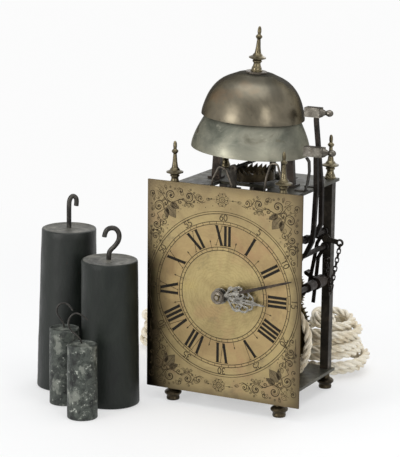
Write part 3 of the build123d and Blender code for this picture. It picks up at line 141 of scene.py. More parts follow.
def material(name, shades, scale, metallic=0.0, rough=(0.4, 0.6), bump=0.0, bump_scale=None,
             stretch=(1, 1, 1), spots=(), sheen=0.0, gloss=None, edge=None, rings=None, fades=()):
    """A material of several shades in a noise, with its own roughness and bump.

    spots: (colour, noise scale, threshold, strength) of each kind of spot.
    edge: the tint of reflections seen at a low angle.
    rings: the height in metres of a centre on the front, the reach in mm, stops of (distance in mm,
        colour, strength) about that centre, and the colour of turned scratches.
    fades: (axis, start, full, colour, strength) of each colour that grows along an axis, in metres,
        then any gates (axis, start, full) that hold it back in the same way.
    """
    mat = bpy.data.materials.new(name)
    mat.use_nodes = True
    tree = mat.node_tree
    shader = tree.nodes["Principled BSDF"]
    place = tree.nodes.new("ShaderNodeTexCoord")
    mapping = tree.nodes.new("ShaderNodeMapping")
    mapping.inputs["Scale"].default_value = stretch
    tree.links.new(place.outputs["Object"], mapping.inputs[0])

    def cloud(size, depth, warp=0.0):
        """A noise of that scale, detail and distortion."""
        node = tree.nodes.new("ShaderNodeTexNoise")
        node.inputs["Scale"].default_value = size
        node.inputs["Detail"].default_value = depth
        node.inputs["Roughness"].default_value = NOISE_ROUGHNESS
        node.inputs["Distortion"].default_value = warp
        tree.links.new(mapping.outputs[0], node.inputs["Vector"])
        return node

    def ramp(source, stops):
        """Colours by the source's value, from (position, colour) stops in rising order."""
        node = tree.nodes.new("ShaderNodeValToRGB")
        elements = node.color_ramp.elements
        elements[0].position, elements[1].position = stops[0][0], stops[-1][0]
        for at, _ in stops[1:-1]:
            elements.new(at)
        for element, (_, colour) in zip(elements, stops):
            element.color = colour
        tree.links.new(source, node.inputs[0])
        return node

    def mixed(under, over, share):
        """The colour over, a constant or a socket, mixed into the socket under."""
        node = tree.nodes.new("ShaderNodeMix")
        node.data_type = "RGBA"
        tree.links.new(share, node.inputs[0])
        tree.links.new(under, node.inputs[6])
        if isinstance(over, tuple):
            node.inputs[7].default_value = over
        else:
            tree.links.new(over, node.inputs[7])
        return node.outputs[2]

    def along(axis, start, full, strength):
        """A share that grows from none at start to strength at full along an axis."""
        split = tree.nodes.new("ShaderNodeSeparateXYZ")
        tree.links.new(place.outputs["Object"], split.inputs[0])
        node = tree.nodes.new("ShaderNodeMapRange")
        node.inputs["From Min"].default_value = start
        node.inputs["From Max"].default_value = full
        node.inputs["To Max"].default_value = strength
        tree.links.new(split.outputs[axis], node.inputs["Value"])
        return node.outputs[0]

    base = cloud(scale, 6.0, 0.6)
    low, high = 0.30, 0.70
    step = (high - low) / (len(shades) - 1)
    colour = ramp(base.outputs[0], [(low + step * i, linear(s)) for i, s in enumerate(shades)])
    out = colour.outputs[0]
    for spot_colour, spot_scale, threshold, strength in spots:
        spot = cloud(spot_scale, 4.0)
        full = min(threshold + 0.08, 1.0)
        mask = ramp(spot.outputs[0], [(threshold, grey(0)), (full, grey(strength))])
        out = mixed(out, linear(spot_colour), mask.outputs[0])
    if rings:
        height, reach, stops, scratch = rings
        about = tree.nodes.new("ShaderNodeMapping")
        about.inputs["Scale"].default_value = (1, 0, 1)
        about.inputs["Location"].default_value = (0, 0, -height)
        tree.links.new(place.outputs["Object"], about.inputs[0])
        far = tree.nodes.new("ShaderNodeVectorMath")
        far.operation = "LENGTH"
        tree.links.new(about.outputs[0], far.inputs[0])
        share = tree.nodes.new("ShaderNodeMath")
        share.operation = "DIVIDE"
        share.inputs[1].default_value = reach / 1000
        tree.links.new(far.outputs["Value"], share.inputs[0])
        tint = ramp(share.outputs[0], [(at / reach, linear(shade)) for at, shade, _ in stops])
        weight = ramp(share.outputs[0], [(at / reach, grey(much)) for at, _, much in stops])
        out = mixed(out, tint.outputs[0], weight.outputs[0])
        turned = tree.nodes.new("ShaderNodeTexWave")
        turned.wave_type = "RINGS"
        turned.rings_direction = "Y"
        for socket, value in (("Scale", 95), ("Distortion", 9), ("Detail", 4), ("Detail Scale", 1.6)):
            turned.inputs[socket].default_value = value
        tree.links.new(about.outputs[0], turned.inputs["Vector"])
        lines = ramp(turned.outputs[1], [(0.55, grey(0)), (0.95, grey(0.17))])
        inside = ramp(share.outputs[0], [(0.34, grey(1)), (0.37, grey(0.25))])
        out = mixed(out, linear(scratch), product(tree, lines.outputs[0], inside.outputs[0]))
    for axis, start, full, fade_colour, strength, *gates in fades:
        share = along(axis, start, full, strength)
        for gate in gates:
            share = product(tree, share, along(*gate, 1.0))
        out = mixed(out, linear(fade_colour), share)
    tree.links.new(out, shader.inputs["Base Color"])
    if gloss is not None:
        shader.inputs["Specular IOR Level"].default_value = gloss
    if edge is not None:
        shader.inputs["Specular Tint"].default_value = linear(edge)
    patch = cloud(scale * 2.3, GRAIN_DETAIL)
    shine = ramp(patch.outputs[0], [(0.35, grey(rough[0])), (0.65, grey(rough[1]))])
    tree.links.new(shine.outputs[0], shader.inputs["Roughness"])
    shader.inputs["Metallic"].default_value = metallic
    if sheen:
        shader.inputs["Sheen Weight"].default_value = sheen
        shader.inputs["Sheen Roughness"].default_value = 0.6
    if bump:
        grain = cloud(bump_scale or scale * 6, GRAIN_DETAIL)
        node = tree.nodes.new("ShaderNodeBump")
        node.inputs["Strength"].default_value = bump
        node.inputs["Distance"].default_value = 0.001
        tree.links.new(grain.outputs[0], node.inputs["Height"])
        tree.links.new(node.outputs[0], shader.inputs["Normal"])
    return mat


EDGE = (84, 74, 58)
SHADOW = (22, 19, 14)
DIAL_RINGS = (
    (0, (164, 148, 100), 0.35), (24, (166, 150, 101), 0.35), (44, (158, 141, 96), 0.35),
    (50, (154, 126, 88), 0.45), (70, (152, 125, 88), 0.45), (76, (156, 138, 97), 0.35),
    (86, (148, 131, 95), 0.4), (100, (138, 122, 91), 0.5), (122, (114, 101, 78), 0.62),
)
DIAL_FADES = (
    # Painted shade: the upper part of the dial is darker.
    (2, 0.150, 0.2285, (112, 98, 74), 0.4),
    (0, 0.070, 0.084, EDGE, 0.85), (0, -0.076, -0.084, EDGE, 0.75),
    (2, 0.2185, 0.2275, EDGE, 0.55), (2, 0.0215, 0.0145, EDGE, 0.55),
    # Painted shadow and reflection of the weights: the left edge is darker, strongest low down.
    (0, -0.058, -0.082, SHADOW, 0.94, (2, 0.172, 0.096)),
    (0, -0.070, -0.0845, SHADOW, 0.6, (2, 0.20, 0.15)),
)
dial_brass = material(
    "dial_brass", ((128, 112, 82), (150, 134, 98), (168, 152, 110), (154, 132, 100)), 30, 0.82,
    (0.28, 0.44), 0.14, 520, edge=(150, 140, 120),
    spots=(((152, 118, 94), 20, 0.57, 0.5), ((180, 162, 104), 15, 0.60, 0.45),
           ((104, 96, 80), 44, 0.60, 0.6), ((64, 52, 34), 300, 0.70, 0.7)),
    rings=(0.1189, 125, DIAL_RINGS, (112, 98, 66)), fades=DIAL_FADES)
engraved = material("engraved", ((20, 17, 12), (34, 29, 21)), 300, 0.0, (0.6, 0.8), 0.1, gloss=0.2)
cut_line = material(
    "cut_line", ((40, 32, 20), (60, 49, 31), (82, 69, 46)), 260, 0.3, (0.5, 0.7), 0.1, gloss=0.3)
cut_patch = material(
    "cut_patch", ((94, 83, 62), (110, 97, 72), (126, 112, 82)), 120, 0.7, (0.4, 0.55), 0.2)
brass = material("brass", ((58, 52, 38), (96, 88, 68), (128, 119, 94)), 60, 0.9, (0.22, 0.4), 0.03, 300)
dark_brass = material(
    "dark_brass", ((34, 29, 22), (60, 52, 38), (88, 77, 57)), 80, 0.85, (0.3, 0.5), 0.1, 300)
wheel_brass = material(
    "wheel_brass", ((56, 49, 30), (92, 80, 48), (128, 112, 68)), 70, 0.85, (0.3, 0.5), 0.08, 300)
upper_bell = material(
    "upper_bell", ((78, 74, 64), (98, 92, 79), (114, 107, 92), (92, 87, 76)), 20, 0.88,
    (0.30, 0.42), 0.06, 500, edge=(70, 68, 60),
    spots=(((134, 112, 88), 15, 0.58, 0.5), ((62, 57, 48), 70, 0.64, 0.55)),
    # Painted shade: the top of the bell is darker.
    fades=((2, 0.306, 0.338, (92, 91, 84), 0.7),))
lower_bell = material(
    "lower_bell", ((90, 92, 83), (112, 113, 102), (130, 129, 116), (102, 100, 88)), 26, 0.8,
    (0.40, 0.54), 0.10, 500, stretch=(1, 1, 1.6), edge=(84, 82, 72),
    spots=(((98, 86, 66), 50, 0.64, 0.4), ((156, 153, 138), 120, 0.62, 0.5), ((62, 58, 48), 240, 0.70, 0.7)),
    fades=((2, 0.268, 0.256, (160, 157, 140), 0.5),))
iron = material(
    "iron", ((33, 31, 27), (52, 48, 42), (76, 69, 60)), 70, 0.5, (0.42, 0.62), 0.25, 260, gloss=0.35,
    spots=(((84, 62, 44), 110, 0.66, 0.5),))
plate_iron = material(
    "plate_iron", ((44, 43, 38), (68, 67, 58), (90, 88, 76)), 50, 0.7, (0.35, 0.55), 0.2, 260,
    spots=(((98, 78, 54), 90, 0.64, 0.5),))
lever_iron = material(
    "lever_iron", ((20, 17, 14), (36, 29, 24), (56, 44, 36)), 70, 0.5, (0.42, 0.62), 0.25, 260, gloss=0.35)
stand_iron = material(
    "stand_iron", ((32, 27, 22), (54, 45, 38), (78, 65, 55)), 60, 0.5, (0.35, 0.5), 0.2, 240, gloss=0.4)
steel = material("steel", ((62, 57, 51), (98, 91, 82), (134, 126, 114)), 80, 0.75, (0.32, 0.5), 0.2, 300)
head_steel = material(
    "head_steel", ((66, 62, 56), (100, 96, 89), (132, 128, 120)), 90, 0.85, (0.28, 0.44), 0.15, 300,
    edge=(120, 116, 108), spots=(((84, 64, 54), 90, 0.62, 0.5),))
hook_steel = material(
    "hook_steel", ((30, 29, 27), (50, 48, 45), (76, 74, 69)), 90, 0.7, (0.3, 0.5), 0.2, 300)
dark_steel = material(
    "dark_steel", ((26, 24, 22), (44, 40, 37), (66, 60, 55)), 90, 0.6, (0.35, 0.55), 0.2, 300,
    edge=(90, 86, 80))
bright_steel = material(
    "bright_steel", ((82, 79, 74), (132, 129, 122), (172, 169, 160)), 240, 0.85, (0.22, 0.38), 0.1, 500)
hand_steel = material(
    "hand_steel", ((30, 26, 23), (50, 42, 35), (72, 60, 48)), 120, 0.6, (0.35, 0.5), 0.1, 400)
PAINT = ((13, 17, 14), (20, 25, 21), (30, 35, 30))
paint = material(
    "paint", PAINT, 34, 0.0, (0.40, 0.58), 0.25, 380, stretch=(1, 1, 0.4), gloss=0.30,
    spots=(((62, 64, 58), 260, 0.70, 0.6), ((10, 11, 10), 60, 0.62, 0.6)))
red_paint = material(
    "red_paint", PAINT, 34, 0.0, (0.36, 0.54), 0.25, 380, stretch=(1, 1, 0.4), gloss=0.38,
    spots=(((104, 34, 30), 50, 0.66, 0.7), ((62, 64, 58), 260, 0.70, 0.6)))
weight_top = material(
    "weight_top", ((50, 50, 46), (80, 79, 72), (112, 109, 100)), 90, 0.3, (0.45, 0.65), 0.4, 260,
    spots=(((40, 38, 34), 60, 0.58, 0.7),))
lead = material(
    "lead", ((26, 29, 27), (46, 50, 46), (72, 77, 71), (40, 43, 40)), 120, 0.35, (0.42, 0.62), 0.7, 320,
    spots=(((132, 135, 126), 62, 0.56, 0.65), ((172, 175, 166), 240, 0.60, 0.8),
           ((14, 15, 14), 84, 0.56, 0.85)))
cotton = material(
    "cotton", ((208, 190, 158), (236, 223, 196), (250, 243, 226), (244, 234, 211)), 30, 0.0,
    (0.8, 0.95), 0.6, 900, sheen=0.3, spots=(((150, 118, 82), 22, 0.63, 0.55),))


# ---------------------------------------------------------------- mesh helpers
def mm(*values):
    """Lengths given in millimetres, in metres."""
    return tuple(v / 1000 for v in values)


def mesh_object(name, vertices, faces, mat, smooth=False):
    """A new mesh object in the scene, of one material."""
    mesh = bpy.data.meshes.new(name)
    mesh.from_pydata([tuple(v) for v in vertices], [], faces)
    mesh.materials.append(mat)
    mesh.validate()
    obj = bpy.data.objects.new(name, mesh)
    scene.collection.objects.link(obj)
    if smooth:
        for polygon in mesh.polygons:
            polygon.use_smooth = True
    return obj


def joined(name, pieces, mat):
    """One object of several (vertices, faces) parts."""
    vertices, faces = [], []
    for part_vertices, part_faces in pieces:
        base = len(vertices)
        vertices += part_vertices
        faces += [tuple(base + i for i in face) for face in part_faces]
    return mesh_object(name, vertices, faces, mat)


def ring_faces(rows, around, closed=False):
    """The quads between rows of points, each row a ring; a closed run joins its last row to its first."""
    faces = []
    for row in range(rows if closed else rows - 1):
        a, b = row * around, (row + 1) % rows * around
        for i in range(around):
            j = (i + 1) % around
            faces.append((a + i, a + j, b + j, b + i))
    return faces


def lathe(name, profile, mat, segments=64, centre=(0, 0, 0), axis="Z", rough=0.0, seed=0.0):
    """A turned shape from (radius, height) points in metres; rough moves the surface by a noise."""
    coarse, fine, axis_radius, least = 45, 130, 0.0005, 0.004
    vertices = []
    for radius, height in profile:
        for i in range(segments):
            turn = tau * i / segments
            point = Vector((radius * cos(turn), radius * sin(turn), height))
            if rough and radius > axis_radius:
                wave = noise.noise(point * coarse + Vector((seed, 0, 0)))
                wave += 0.5 * noise.noise(point * fine + Vector((0, seed, 0)))
                point.x *= 1 + rough * wave / max(radius, least)
                point.y *= 1 + rough * wave / max(radius, least)
            vertices.append(point)
    obj = mesh_object(name, vertices, ring_faces(len(profile), segments), mat, True)
    turn = Matrix.Rotation(pi / 2, 4, "X") if axis == "Y" else Matrix.Identity(4)
    obj.data.transform(Matrix.Translation(centre) @ turn)
    return obj


def nurbs_curve(name, points, steps):
    """A curve object whose smooth line has these control points, in metres."""
    curve = bpy.data.curves.new(name, "CURVE")
    curve.dimensions = "3D"
    spline = curve.splines.new("NURBS")
    spline.points.add(len(points) - 1)
    for point, place in zip(spline.points, points):
        point.co = (*place, 1)
    spline.order_u = 3
    spline.use_endpoint_u = True
    spline.resolution_u = steps
    obj = bpy.data.objects.new(name, curve)
    scene.collection.objects.link(obj)
    return obj


def wire(name, points, radius, mat):
    """A round wire along a smooth line through the run of control points."""
    obj = nurbs_curve(name, points, 8)
    obj.data.bevel_depth = radius
    obj.data.bevel_resolution = 3
    obj.data.use_fill_caps = True
    obj.data.materials.append(mat)
    return obj


# ---------------------------------------------------------------- ropes
# The rope's diameter in metres, its strands' radius as a share of its own, and its lay in diameters.
ROPE = 0.009
STRAND = 0.464
LAY = 3.4
# In mm: the height of a rope's middle on the floor, its radius on a pulley, the places of both pulleys
# along Y, and the height of the corners that carry a rope over its pulley.
rope_z = 5.2
rope_radius = 34.9
going_y, striking_y = -33.0, 29.0
over = 62.0 + rope_radius


def nurbs_points(points, steps):
    """Points along the NURBS spline that has these control points in mm, as Blender works it out."""
    obj = nurbs_curve("route", [mm(*p) for p in points], steps)
    mesh = bpy.data.meshes.new_from_object(obj)
    line = [v.co.copy() for v in mesh.vertices]
    bpy.data.objects.remove(obj)
    return [p for i, p in enumerate(line) if i == 0 or (p - line[i - 1]).length > 1e-6]


def evenly(line, step):
    """The same line with points a fixed distance apart."""
    out, carry = [line[0]], 0.0
    for a, b in zip(line, line[1:]):
        run = (b - a).length
        at = step - carry
        while at < run:
            out.append(a.lerp(b, at / run))
            at += step
        carry = run - (at - step)
    out.append(line[-1])
    return out


def laid_rope(name, points, body):
    """A three-strand twisted rope along the route; returns the object, its middle line and its length."""
    step, tip, around = 0.0016, 0.004, 24
    line = evenly(nurbs_points(points, 12), step)
    length = sum((b - a).length for a, b in zip(line, line[1:]))
    strand = STRAND * ROPE / 2
    offset = ROPE / 2 - strand
    vertices = []
    tangent = (line[1] - line[0]).normalized()
    side = tangent.orthogonal().normalized()
    travelled = 0.0
    for n, centre in enumerate(line):
        ahead = line[min(n + 1, len(line) - 1)] - line[max(n - 1, 0)]
        new = ahead.normalized()
        side = (tangent.rotation_difference(new) @ side).normalized()
        side = (side - side.dot(new) * new).normalized()
        tangent = new
        other = tangent.cross(side)
        if n:
            travelled += (centre - line[n - 1]).length
        twist = tau * travelled / (LAY * ROPE)
        fade = min(1.0, travelled / tip, (length - travelled) / tip + 0.3)
        for i in range(around):
            turn = tau * i / around
            local = (turn + pi / 3) % (tau / 3) - pi / 3
            radius = offset * cos(local) + sqrt(max(strand ** 2 - (offset * sin(local)) ** 2, 1e-9))
            radius *= 0.6 + 0.4 * fade
            angle = turn + twist
            vertices.append(centre + radius * (cos(angle) * side + sin(angle) * other))
    rings = len(line)
    faces = ring_faces(rings, around)
    faces.append(tuple(reversed(range(around))))
    faces.append(tuple((rings - 1) * around + i for i in range(around)))
    obj = mesh_object(name, vertices, faces, cotton, True)
    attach(obj, body)
    return obj, line, length


def rope_end(name, centre, direction):
    """A stopper knot on the floor: three fat crossing turns of the same rope, drawn tight."""
    middle, swing, rise, thickness, floor_gap = 0.0034, 0.0012, 0.0026, 0.0031, 0.0002
    count, around = 60, 10
    forward = Vector(direction).normalized()
    side = forward.orthogonal().normalized()
    other = forward.cross(side)
    line = []
    for i in range(count):
        t = tau * i / count
        radius = middle + swing * cos(3 * t)
        flat_part = radius * (cos(2 * t) * side + sin(2 * t) * other)
        line.append(Vector(centre) + flat_part + rise * sin(3 * t) * forward)
    vertices = []
    for n in range(count):
        ahead = (line[(n + 1) % count] - line[n - 1]).normalized()
        across = ahead.orthogonal().normalized()
        third = ahead.cross(across)
        for i in range(around):
            turn = tau * i / around
            place = line[n] + thickness * (cos(turn) * across + sin(turn) * third)
            place.z = max(place.z, floor_gap)
            vertices.append(place)
    knot = mesh_object(name, vertices, ring_faces(count, around, True), cotton, True)
    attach(knot, "frame")
    return knot


# The going rope: down from its pulley both ways, then a flat pile of long turns behind the clock.
bend = 20.0
going_points = [
    (22, 57, rope_z), (21, 18, rope_z), (rope_radius, going_y + bend, rope_z), (rope_radius, going_y, rope_z),
    (rope_radius, going_y, over), (-rope_radius, going_y, over), (-rope_radius, going_y, rope_z),
    (-rope_radius + 1, going_y + bend, rope_z), (-19, 20, rope_z), (-20, 58, rope_z), (-36, 79, rope_z),
]
turns, per_turn, layer = 4, 16, 9.4
pile_y, end_radius = 111, 25.5
for i in range(per_turn * turns):
    along = i / per_turn
    share = along % 1.0
    lift = rope_z + layer * along
    loose = 3.0 * sin(2.1 * along + 0.6)
    left = 156 + 2.0 * sin(1.7 * along)
    run = left - 60
    if share < 0.25:
        x, y = -54 - run * (share / 0.25), pile_y - end_radius
    elif share < 0.5:
        turn = pi * (share - 0.25) / 0.25
        x, y = -left - (end_radius + loose) * sin(turn), pile_y - end_radius * cos(turn)
    elif share < 0.75:
        x, y = 6 - left + run * ((share - 0.5) / 0.25), pile_y + end_radius
    else:
        turn = pi * (share - 0.75) / 0.25
        x, y = -48 + (end_radius + loose) * sin(turn), pile_y + end_radius * cos(turn)
    going_points.append((x, y + 0.5 * loose - 1.0, lift))

# The striking rope: over its pulley, bulging at the right, then a round pile that narrows upwards.
striking_points = [
    (-42, 63.8, rope_z), (-rope_radius, striking_y + bend, rope_z), (-rope_radius, striking_y, rope_z),
    (-rope_radius, striking_y, over), (26, striking_y, over), (53, striking_y, 68), (50, striking_y, 36),
    (rope_radius + 1.5, striking_y + 1, 15), (rope_radius + 1.2, striking_y + 17, rope_z),
    (39, 64, rope_z + 1), (41, 76, rope_z + 1),
]
turns, per_turn, layer = 7, 14, 7.9
pile_x, pile_y, pile_radius = 37, 119, 35.0
for i in range(per_turn * turns):
    along = i / per_turn + 1.1 / per_turn
    angle = -pi / 2 + tau * along
    radius = pile_radius - 2.8 * cos(pi * along) - 0.22 * along ** 2 - max(0.0, along - 5) * 4.0
    x = pile_x + 3.4 * sin(1.3 * along) + radius * cos(angle)
    y = pile_y + 3.0 * cos(0.9 * along) + radius * sin(angle)
    tilt = 2.2 * sin(angle + 0.8 * along) * min(1.0, along / 2)
    striking_points.append((x, y, rope_z + 1.0 + layer * along + tilt))

for name, points, node_names in (
    ("going_rope_laid", going_points, ("going_rope", "going_rope_coil")),
    ("striking_rope_laid", striking_points, ("striking_rope", "striking_rope_coil")),
):
    rope, line, length = laid_rope(name, points, "frame")
    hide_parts(*node_names)
    before, after = line[0] - line[1], line[-1] - line[-2]
    start = rope_end(name + "_knot", line[0] + before.normalized() * 0.006, line[1] - line[0])
    end = rope_end(name + "_end_knot", line[-1] + after.normalized() * 0.004, after)
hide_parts("rope_knots")


# ---------------------------------------------------------------- dial engraving
# In mm: the height of the hands' centre, the dial's face, and the plane of its cuts just before it.
CENTRE = 118.9
DIAL_FRONT = -66.3
ENGRAVED_Y = DIAL_FRONT - 0.06


def flat(points):
    """Places flat (u, v) points in mm, measured from the hands' centre, in the plane of the cuts."""
    return [(u / 1000, ENGRAVED_Y / 1000, (CENTRE + v) / 1000) for u, v in points]


def ribbon(points, width, closed=False, taper=False):
    """A flat line of constant width, or one that thins out to both ends."""
    count = len(points)
    left, right_side = [], []
    for i, (u, v) in enumerate(points):
        a = points[i - 1] if i or closed else points[i]
        b = points[(i + 1) % count] if i < count - 1 or closed else points[i]
        du, dv = b[0] - a[0], b[1] - a[1]
        run = hypot(du, dv) or 1.0
        half = width / 2
        if taper:
            half *= 0.35 + 0.65 * sin(pi * min(1.0, (i + 0.5) / count))
        left.append((u - dv / run * half, v + du / run * half))
        right_side.append((u + dv / run * half, v - du / run * half))
    faces = []
    for i in range(count if closed else count - 1):
        j = (i + 1) % count
        faces.append((i, j, count + j, count + i))
    return flat(left + right_side), faces


def filled(points):
    """A flat face with that outline."""
    return flat(points), [tuple(range(len(points)))]


def circle_points(radius, count=160, u=0.0, v=0.0):
    """Evenly spaced points on a circle."""
    return [(u + radius * cos(tau * i / count), v + radius * sin(tau * i / count)) for i in range(count)]


def at_hour(hour, inner):
    """Turns (across, outward) numeral points into dial points at that hour."""
    turn = tau * hour / 12
    out, across = (sin(turn), cos(turn)), (cos(turn), -sin(turn))
    return lambda a, b: (across[0] * a + out[0] * (inner + b), across[1] * a + out[1] * (inner + b))


# In mm: the numerals' height and foot, their broad and fine strokes, half a serif, and each letter's room.
ROMAN = ("", "I", "II", "III", "IIII", "V", "VI", "VII", "VIII", "IX", "X", "XI", "XII")
HEIGHT = 20.5
NUMERAL_FOOT = 49.6
BROAD = 2.9
HAIR = 0.55
SERIF = 0.3
WIDTHS = {"I": 4.5, "V": 9.2, "X": 9.2}


def numeral(hour):
    """The strokes of an hour numeral: the broad ones filled black, the hairlines and serifs cut."""
    place = at_hour(hour, NUMERAL_FOOT)
    letters = ROMAN[hour]
    total = sum(WIDTHS[c] for c in letters)
    across = -total / 2
    broad, fine = [], []
    low, high = SERIF, HEIGHT - SERIF

    def bar(parts, a0, b0, a1, b1, width):
        """A stroke between two points, cut level at both ends."""
        half = width / 2 * hypot(a1 - a0, b1 - b0) / abs(b1 - b0)
        corners = [(a0 - half, b0), (a0 + half, b0), (a1 + half, b1), (a1 - half, b1)]
        parts.append(filled([place(a, b) for a, b in corners]))

    def serif(a, b, half):
        """A fine line across a stroke's end."""
        corners = [(a - half, b - SERIF), (a + half, b - SERIF), (a + half, b + SERIF), (a - half, b + SERIF)]
        fine.append(filled([place(*p) for p in corners]))

    for letter in letters:
        mid = across + WIDTHS[letter] / 2
        if letter == "I":
            bar(broad, mid, 0, mid, HEIGHT, BROAD)
            feet = ((mid, low, 2.1), (mid, high, 2.1))
        elif letter == "V":
            bar(broad, mid - 3.0, HEIGHT, mid + 0.4, 0, BROAD)
            bar(fine, mid + 3.6, HEIGHT, mid + 1.0, 0, HAIR)
            feet = ((mid - 3.0, high, 2.2), (mid + 3.6, high, 1.5))
        else:
            bar(broad, mid - 3.0, HEIGHT, mid + 3.0, 0, BROAD)
            bar(fine, mid + 3.3, HEIGHT, mid - 3.3, 0, HAIR)
            feet = ((mid - 3.0, high, 2.1), (mid + 3.0, low, 2.1),
                    (mid + 3.3, high, 1.3), (mid - 3.3, low, 1.3))
        for a, b, width in feet:
            serif(a, b, width)
        across += WIDTHS[letter]
    return broad, fine


def arc(cx, cy, rx, ry, start, end, count=14):
    """Points along part of an ellipse, between two angles in degrees."""
    turns = [radians(start + (end - start) * i / count) for i in range(count + 1)]
    return [(cx + rx * cos(turn), cy + ry * sin(turn)) for turn in turns]


# The strokes of each digit in a box 0.6 wide and 1 high.
DIGITS = {
    "0": [arc(0.3, 0.5, 0.28, 0.5, 0, 360, 22)],
    "1": [[(0.14, 0.78), (0.3, 1.0), (0.3, 0.0)]],
    "2": [arc(0.3, 0.72, 0.27, 0.28, 160, -40, 12) + [(0.04, 0.0), (0.58, 0.02)]],
    "3": [arc(0.27, 0.76, 0.25, 0.24, 150, -90, 12), arc(0.27, 0.27, 0.3, 0.27, 90, -150, 12)],
    "4": [[(0.44, 0.0), (0.44, 1.0), (0.02, 0.3), (0.6, 0.3)]],
    "5": [[(0.52, 1.0), (0.12, 1.0), (0.08, 0.56)] + arc(0.26, 0.32, 0.3, 0.32, 110, -140, 14)],
    "6": [arc(0.3, 0.3, 0.27, 0.3, 90, 450, 20), [(0.5, 0.98), (0.2, 0.78), (0.04, 0.36)]],
}


def minute_number(minutes):
    """The strokes of a minute number, upright on its radius."""
    place = at_hour(minutes / 5, NUMBER_RING)
    text = str(minutes)
    size, advance, stroke_width = 6.1, 4.6, 0.98
    parts = []
    for n, digit in enumerate(text):
        shift = (n - len(text) / 2) * advance + 0.4
        for stroke in DIGITS[digit]:
            parts.append(ribbon([place(shift + a * size, b * size - 0.2) for a, b in stroke], stroke_width))
    return parts


# Radii in mm, and each engraved circle's radius and width.
QUARTER_RING, HOUR_RING, MINUTE_RING, NUMBER_RING = 45.2, 48.4, 71.6, 75.5
CIRCLES = (
    (QUARTER_RING, 0.8), (HOUR_RING, 0.8), (MINUTE_RING, 0.75), (74.3, 0.7), (81.9, 0.75), (84.1, 0.6),
)
black, cut, patches = [], [], []
for radius, width in CIRCLES:
    cut.append(ribbon(circle_points(radius), width, closed=True))
for hour in range(1, 13):
    broad, fine = numeral(hour)
    black += broad
    cut += fine + minute_number(hour * 5)
    place = at_hour(hour + 0.5, HOUR_RING)
    cut.append(ribbon([place(0, 0.4), place(0, 6.4)], 0.5))
    cut.append(filled([place(0, 4.6), place(0.8, 6.2), place(0, 8.0), place(-0.8, 6.2)]))
for count, ring, length, width in ((60, MINUTE_RING, 2.7, 0.5), (48, QUARTER_RING, 3.2, 0.42)):
    for mark in range(count):
        place = at_hour(mark * 12 / count, ring)
        cut.append(ribbon([place(0, 0), place(0, length)], width))


def scroll(u, v, radius, turns, start, sense):
    """A spiral line that winds in from start (degrees) about u, v."""
    count, closing = int(26 * turns), 0.82
    line = []
    for i in range(count + 1):
        out = radius * (1 - closing * i / count)
        turn = radians(start) + sense * tau * turns * i / count
        line.append((u + out * cos(turn), v + out * sin(turn)))
    return line


def placed(points, u, v, angle):
    """The (along, across) points turned by an angle in degrees and moved to u, v."""
    turn = radians(angle)
    return [(u + a * cos(turn) - b * sin(turn), v + a * sin(turn) + b * cos(turn)) for a, b in points]


def leaf_edge(length, width, count=10):
    """One edge of a leaf from its foot to its tip."""
    return [(length * i / count, width * sin(pi * (i / count) ** 0.8)) for i in range(count + 1)]


def petal(u, v, length, width, angle):
    """A leaf's outline as one closed run of points."""
    edge = leaf_edge(length, width)
    return placed(edge + [(a, -b) for a, b in edge[-2:0:-1]], u, v, angle)


def leaf(u, v, length, width, angle, hatched=False):
    """The outline of a leaf with its rib; a hatched one is shaded by fine cuts."""
    outline, fine = 0.52, 0.34
    edge = leaf_edge(length, width)
    other = [(a, -b) for a, b in edge]
    parts = [ribbon(placed(line, u, v, angle), outline, taper=True) for line in (edge, other)]
    parts.append(ribbon(placed([(0, 0), (length * 0.8, 0)], u, v, angle), fine))
    if hatched:
        for a, b in leaf_edge(length, width, 12)[1:-1]:
            half = b * 0.86
            parts.append(ribbon(placed([(a - 0.8, -half), (a + 0.6, 0), (a - 0.8, half)], u, v, angle), fine))
    return parts


def crest(u, v, radius, start, end, count, size):
    """Small leaves that stand out along a scroll's back."""
    parts = []
    for i in range(count):
        angle = start + (end - start) * i / max(1, count - 1)
        turn = radians(angle)
        parts += leaf(u + radius * cos(turn), v + radius * sin(turn), size, size * 0.34, angle + 24)
    return parts


# The upper right corner, in mm from the hands' centre. A scroll: its place, radius, turns, start and sense.
SCROLLS = (
    (58.6, 95.0, 6.6, 1.35, 250, 1), (72.2, 82.6, 6.6, 1.35, 200, -1), (38.4, 95.4, 5.6, 1.4, 330, -1),
    (74.6, 64.0, 5.0, 1.4, 100, 1), (75.6, 51.6, 4.6, 1.4, 250, -1), (25.6, 95.0, 3.8, 1.3, 200, 1),
    (66.2, 66.8, 3.2, 1.2, 60, 1), (48.2, 89.4, 3.2, 1.2, 160, -1), (79.0, 95.2, 3.6, 1.2, 300, 1),
    (76.8, 41.4, 3.2, 1.2, 80, 1), (64.6, 86.8, 3.0, 1.1, 45, 1), (47.6, 100.2, 2.8, 1.1, 20, 1),
    (79.4, 72.8, 2.8, 1.1, 120, 1),
)
LARGE_SCROLLS = 5
# A leaf: its place, length, half width and direction.
LEAVES = (
    (66.4, 99.0, 7, 1.9, 20), (70.0, 92.4, 7, 1.9, 78), (76.8, 90.6, 6, 1.7, 60),
    (51.4, 98.6, 6, 1.8, 120), (44.6, 96.4, 5, 1.6, 40), (38.7, 89.2, 5, 1.6, 268),
    (36.0, 88.0, 4, 1.2, 230), (41.4, 88.0, 4, 1.2, 305), (31.0, 97.2, 6, 1.5, 172),
    (19.4, 95.0, 5, 1.3, 180), (67.0, 74.6, 6, 1.7, 260), (79.2, 77.0, 6, 1.6, 96),
    (69.4, 60.4, 5, 1.5, 232), (71.4, 58.0, 5, 1.5, 265), (79.6, 58.2, 6, 1.6, 280),
    (71.0, 47.6, 5, 1.4, 214), (77.6, 37.4, 6, 1.4, 268), (64.0, 101.4, 4, 1.3, 70),
    (54.0, 88.4, 5, 1.5, 265), (62.8, 73.4, 4, 1.2, 300),
)
TULIP = ((62.4, 84.6, 15.5, 5.0, 232), (64.0, 82.0, 11, 2.6, 262), (59.2, 86.4, 11, 2.6, 202))
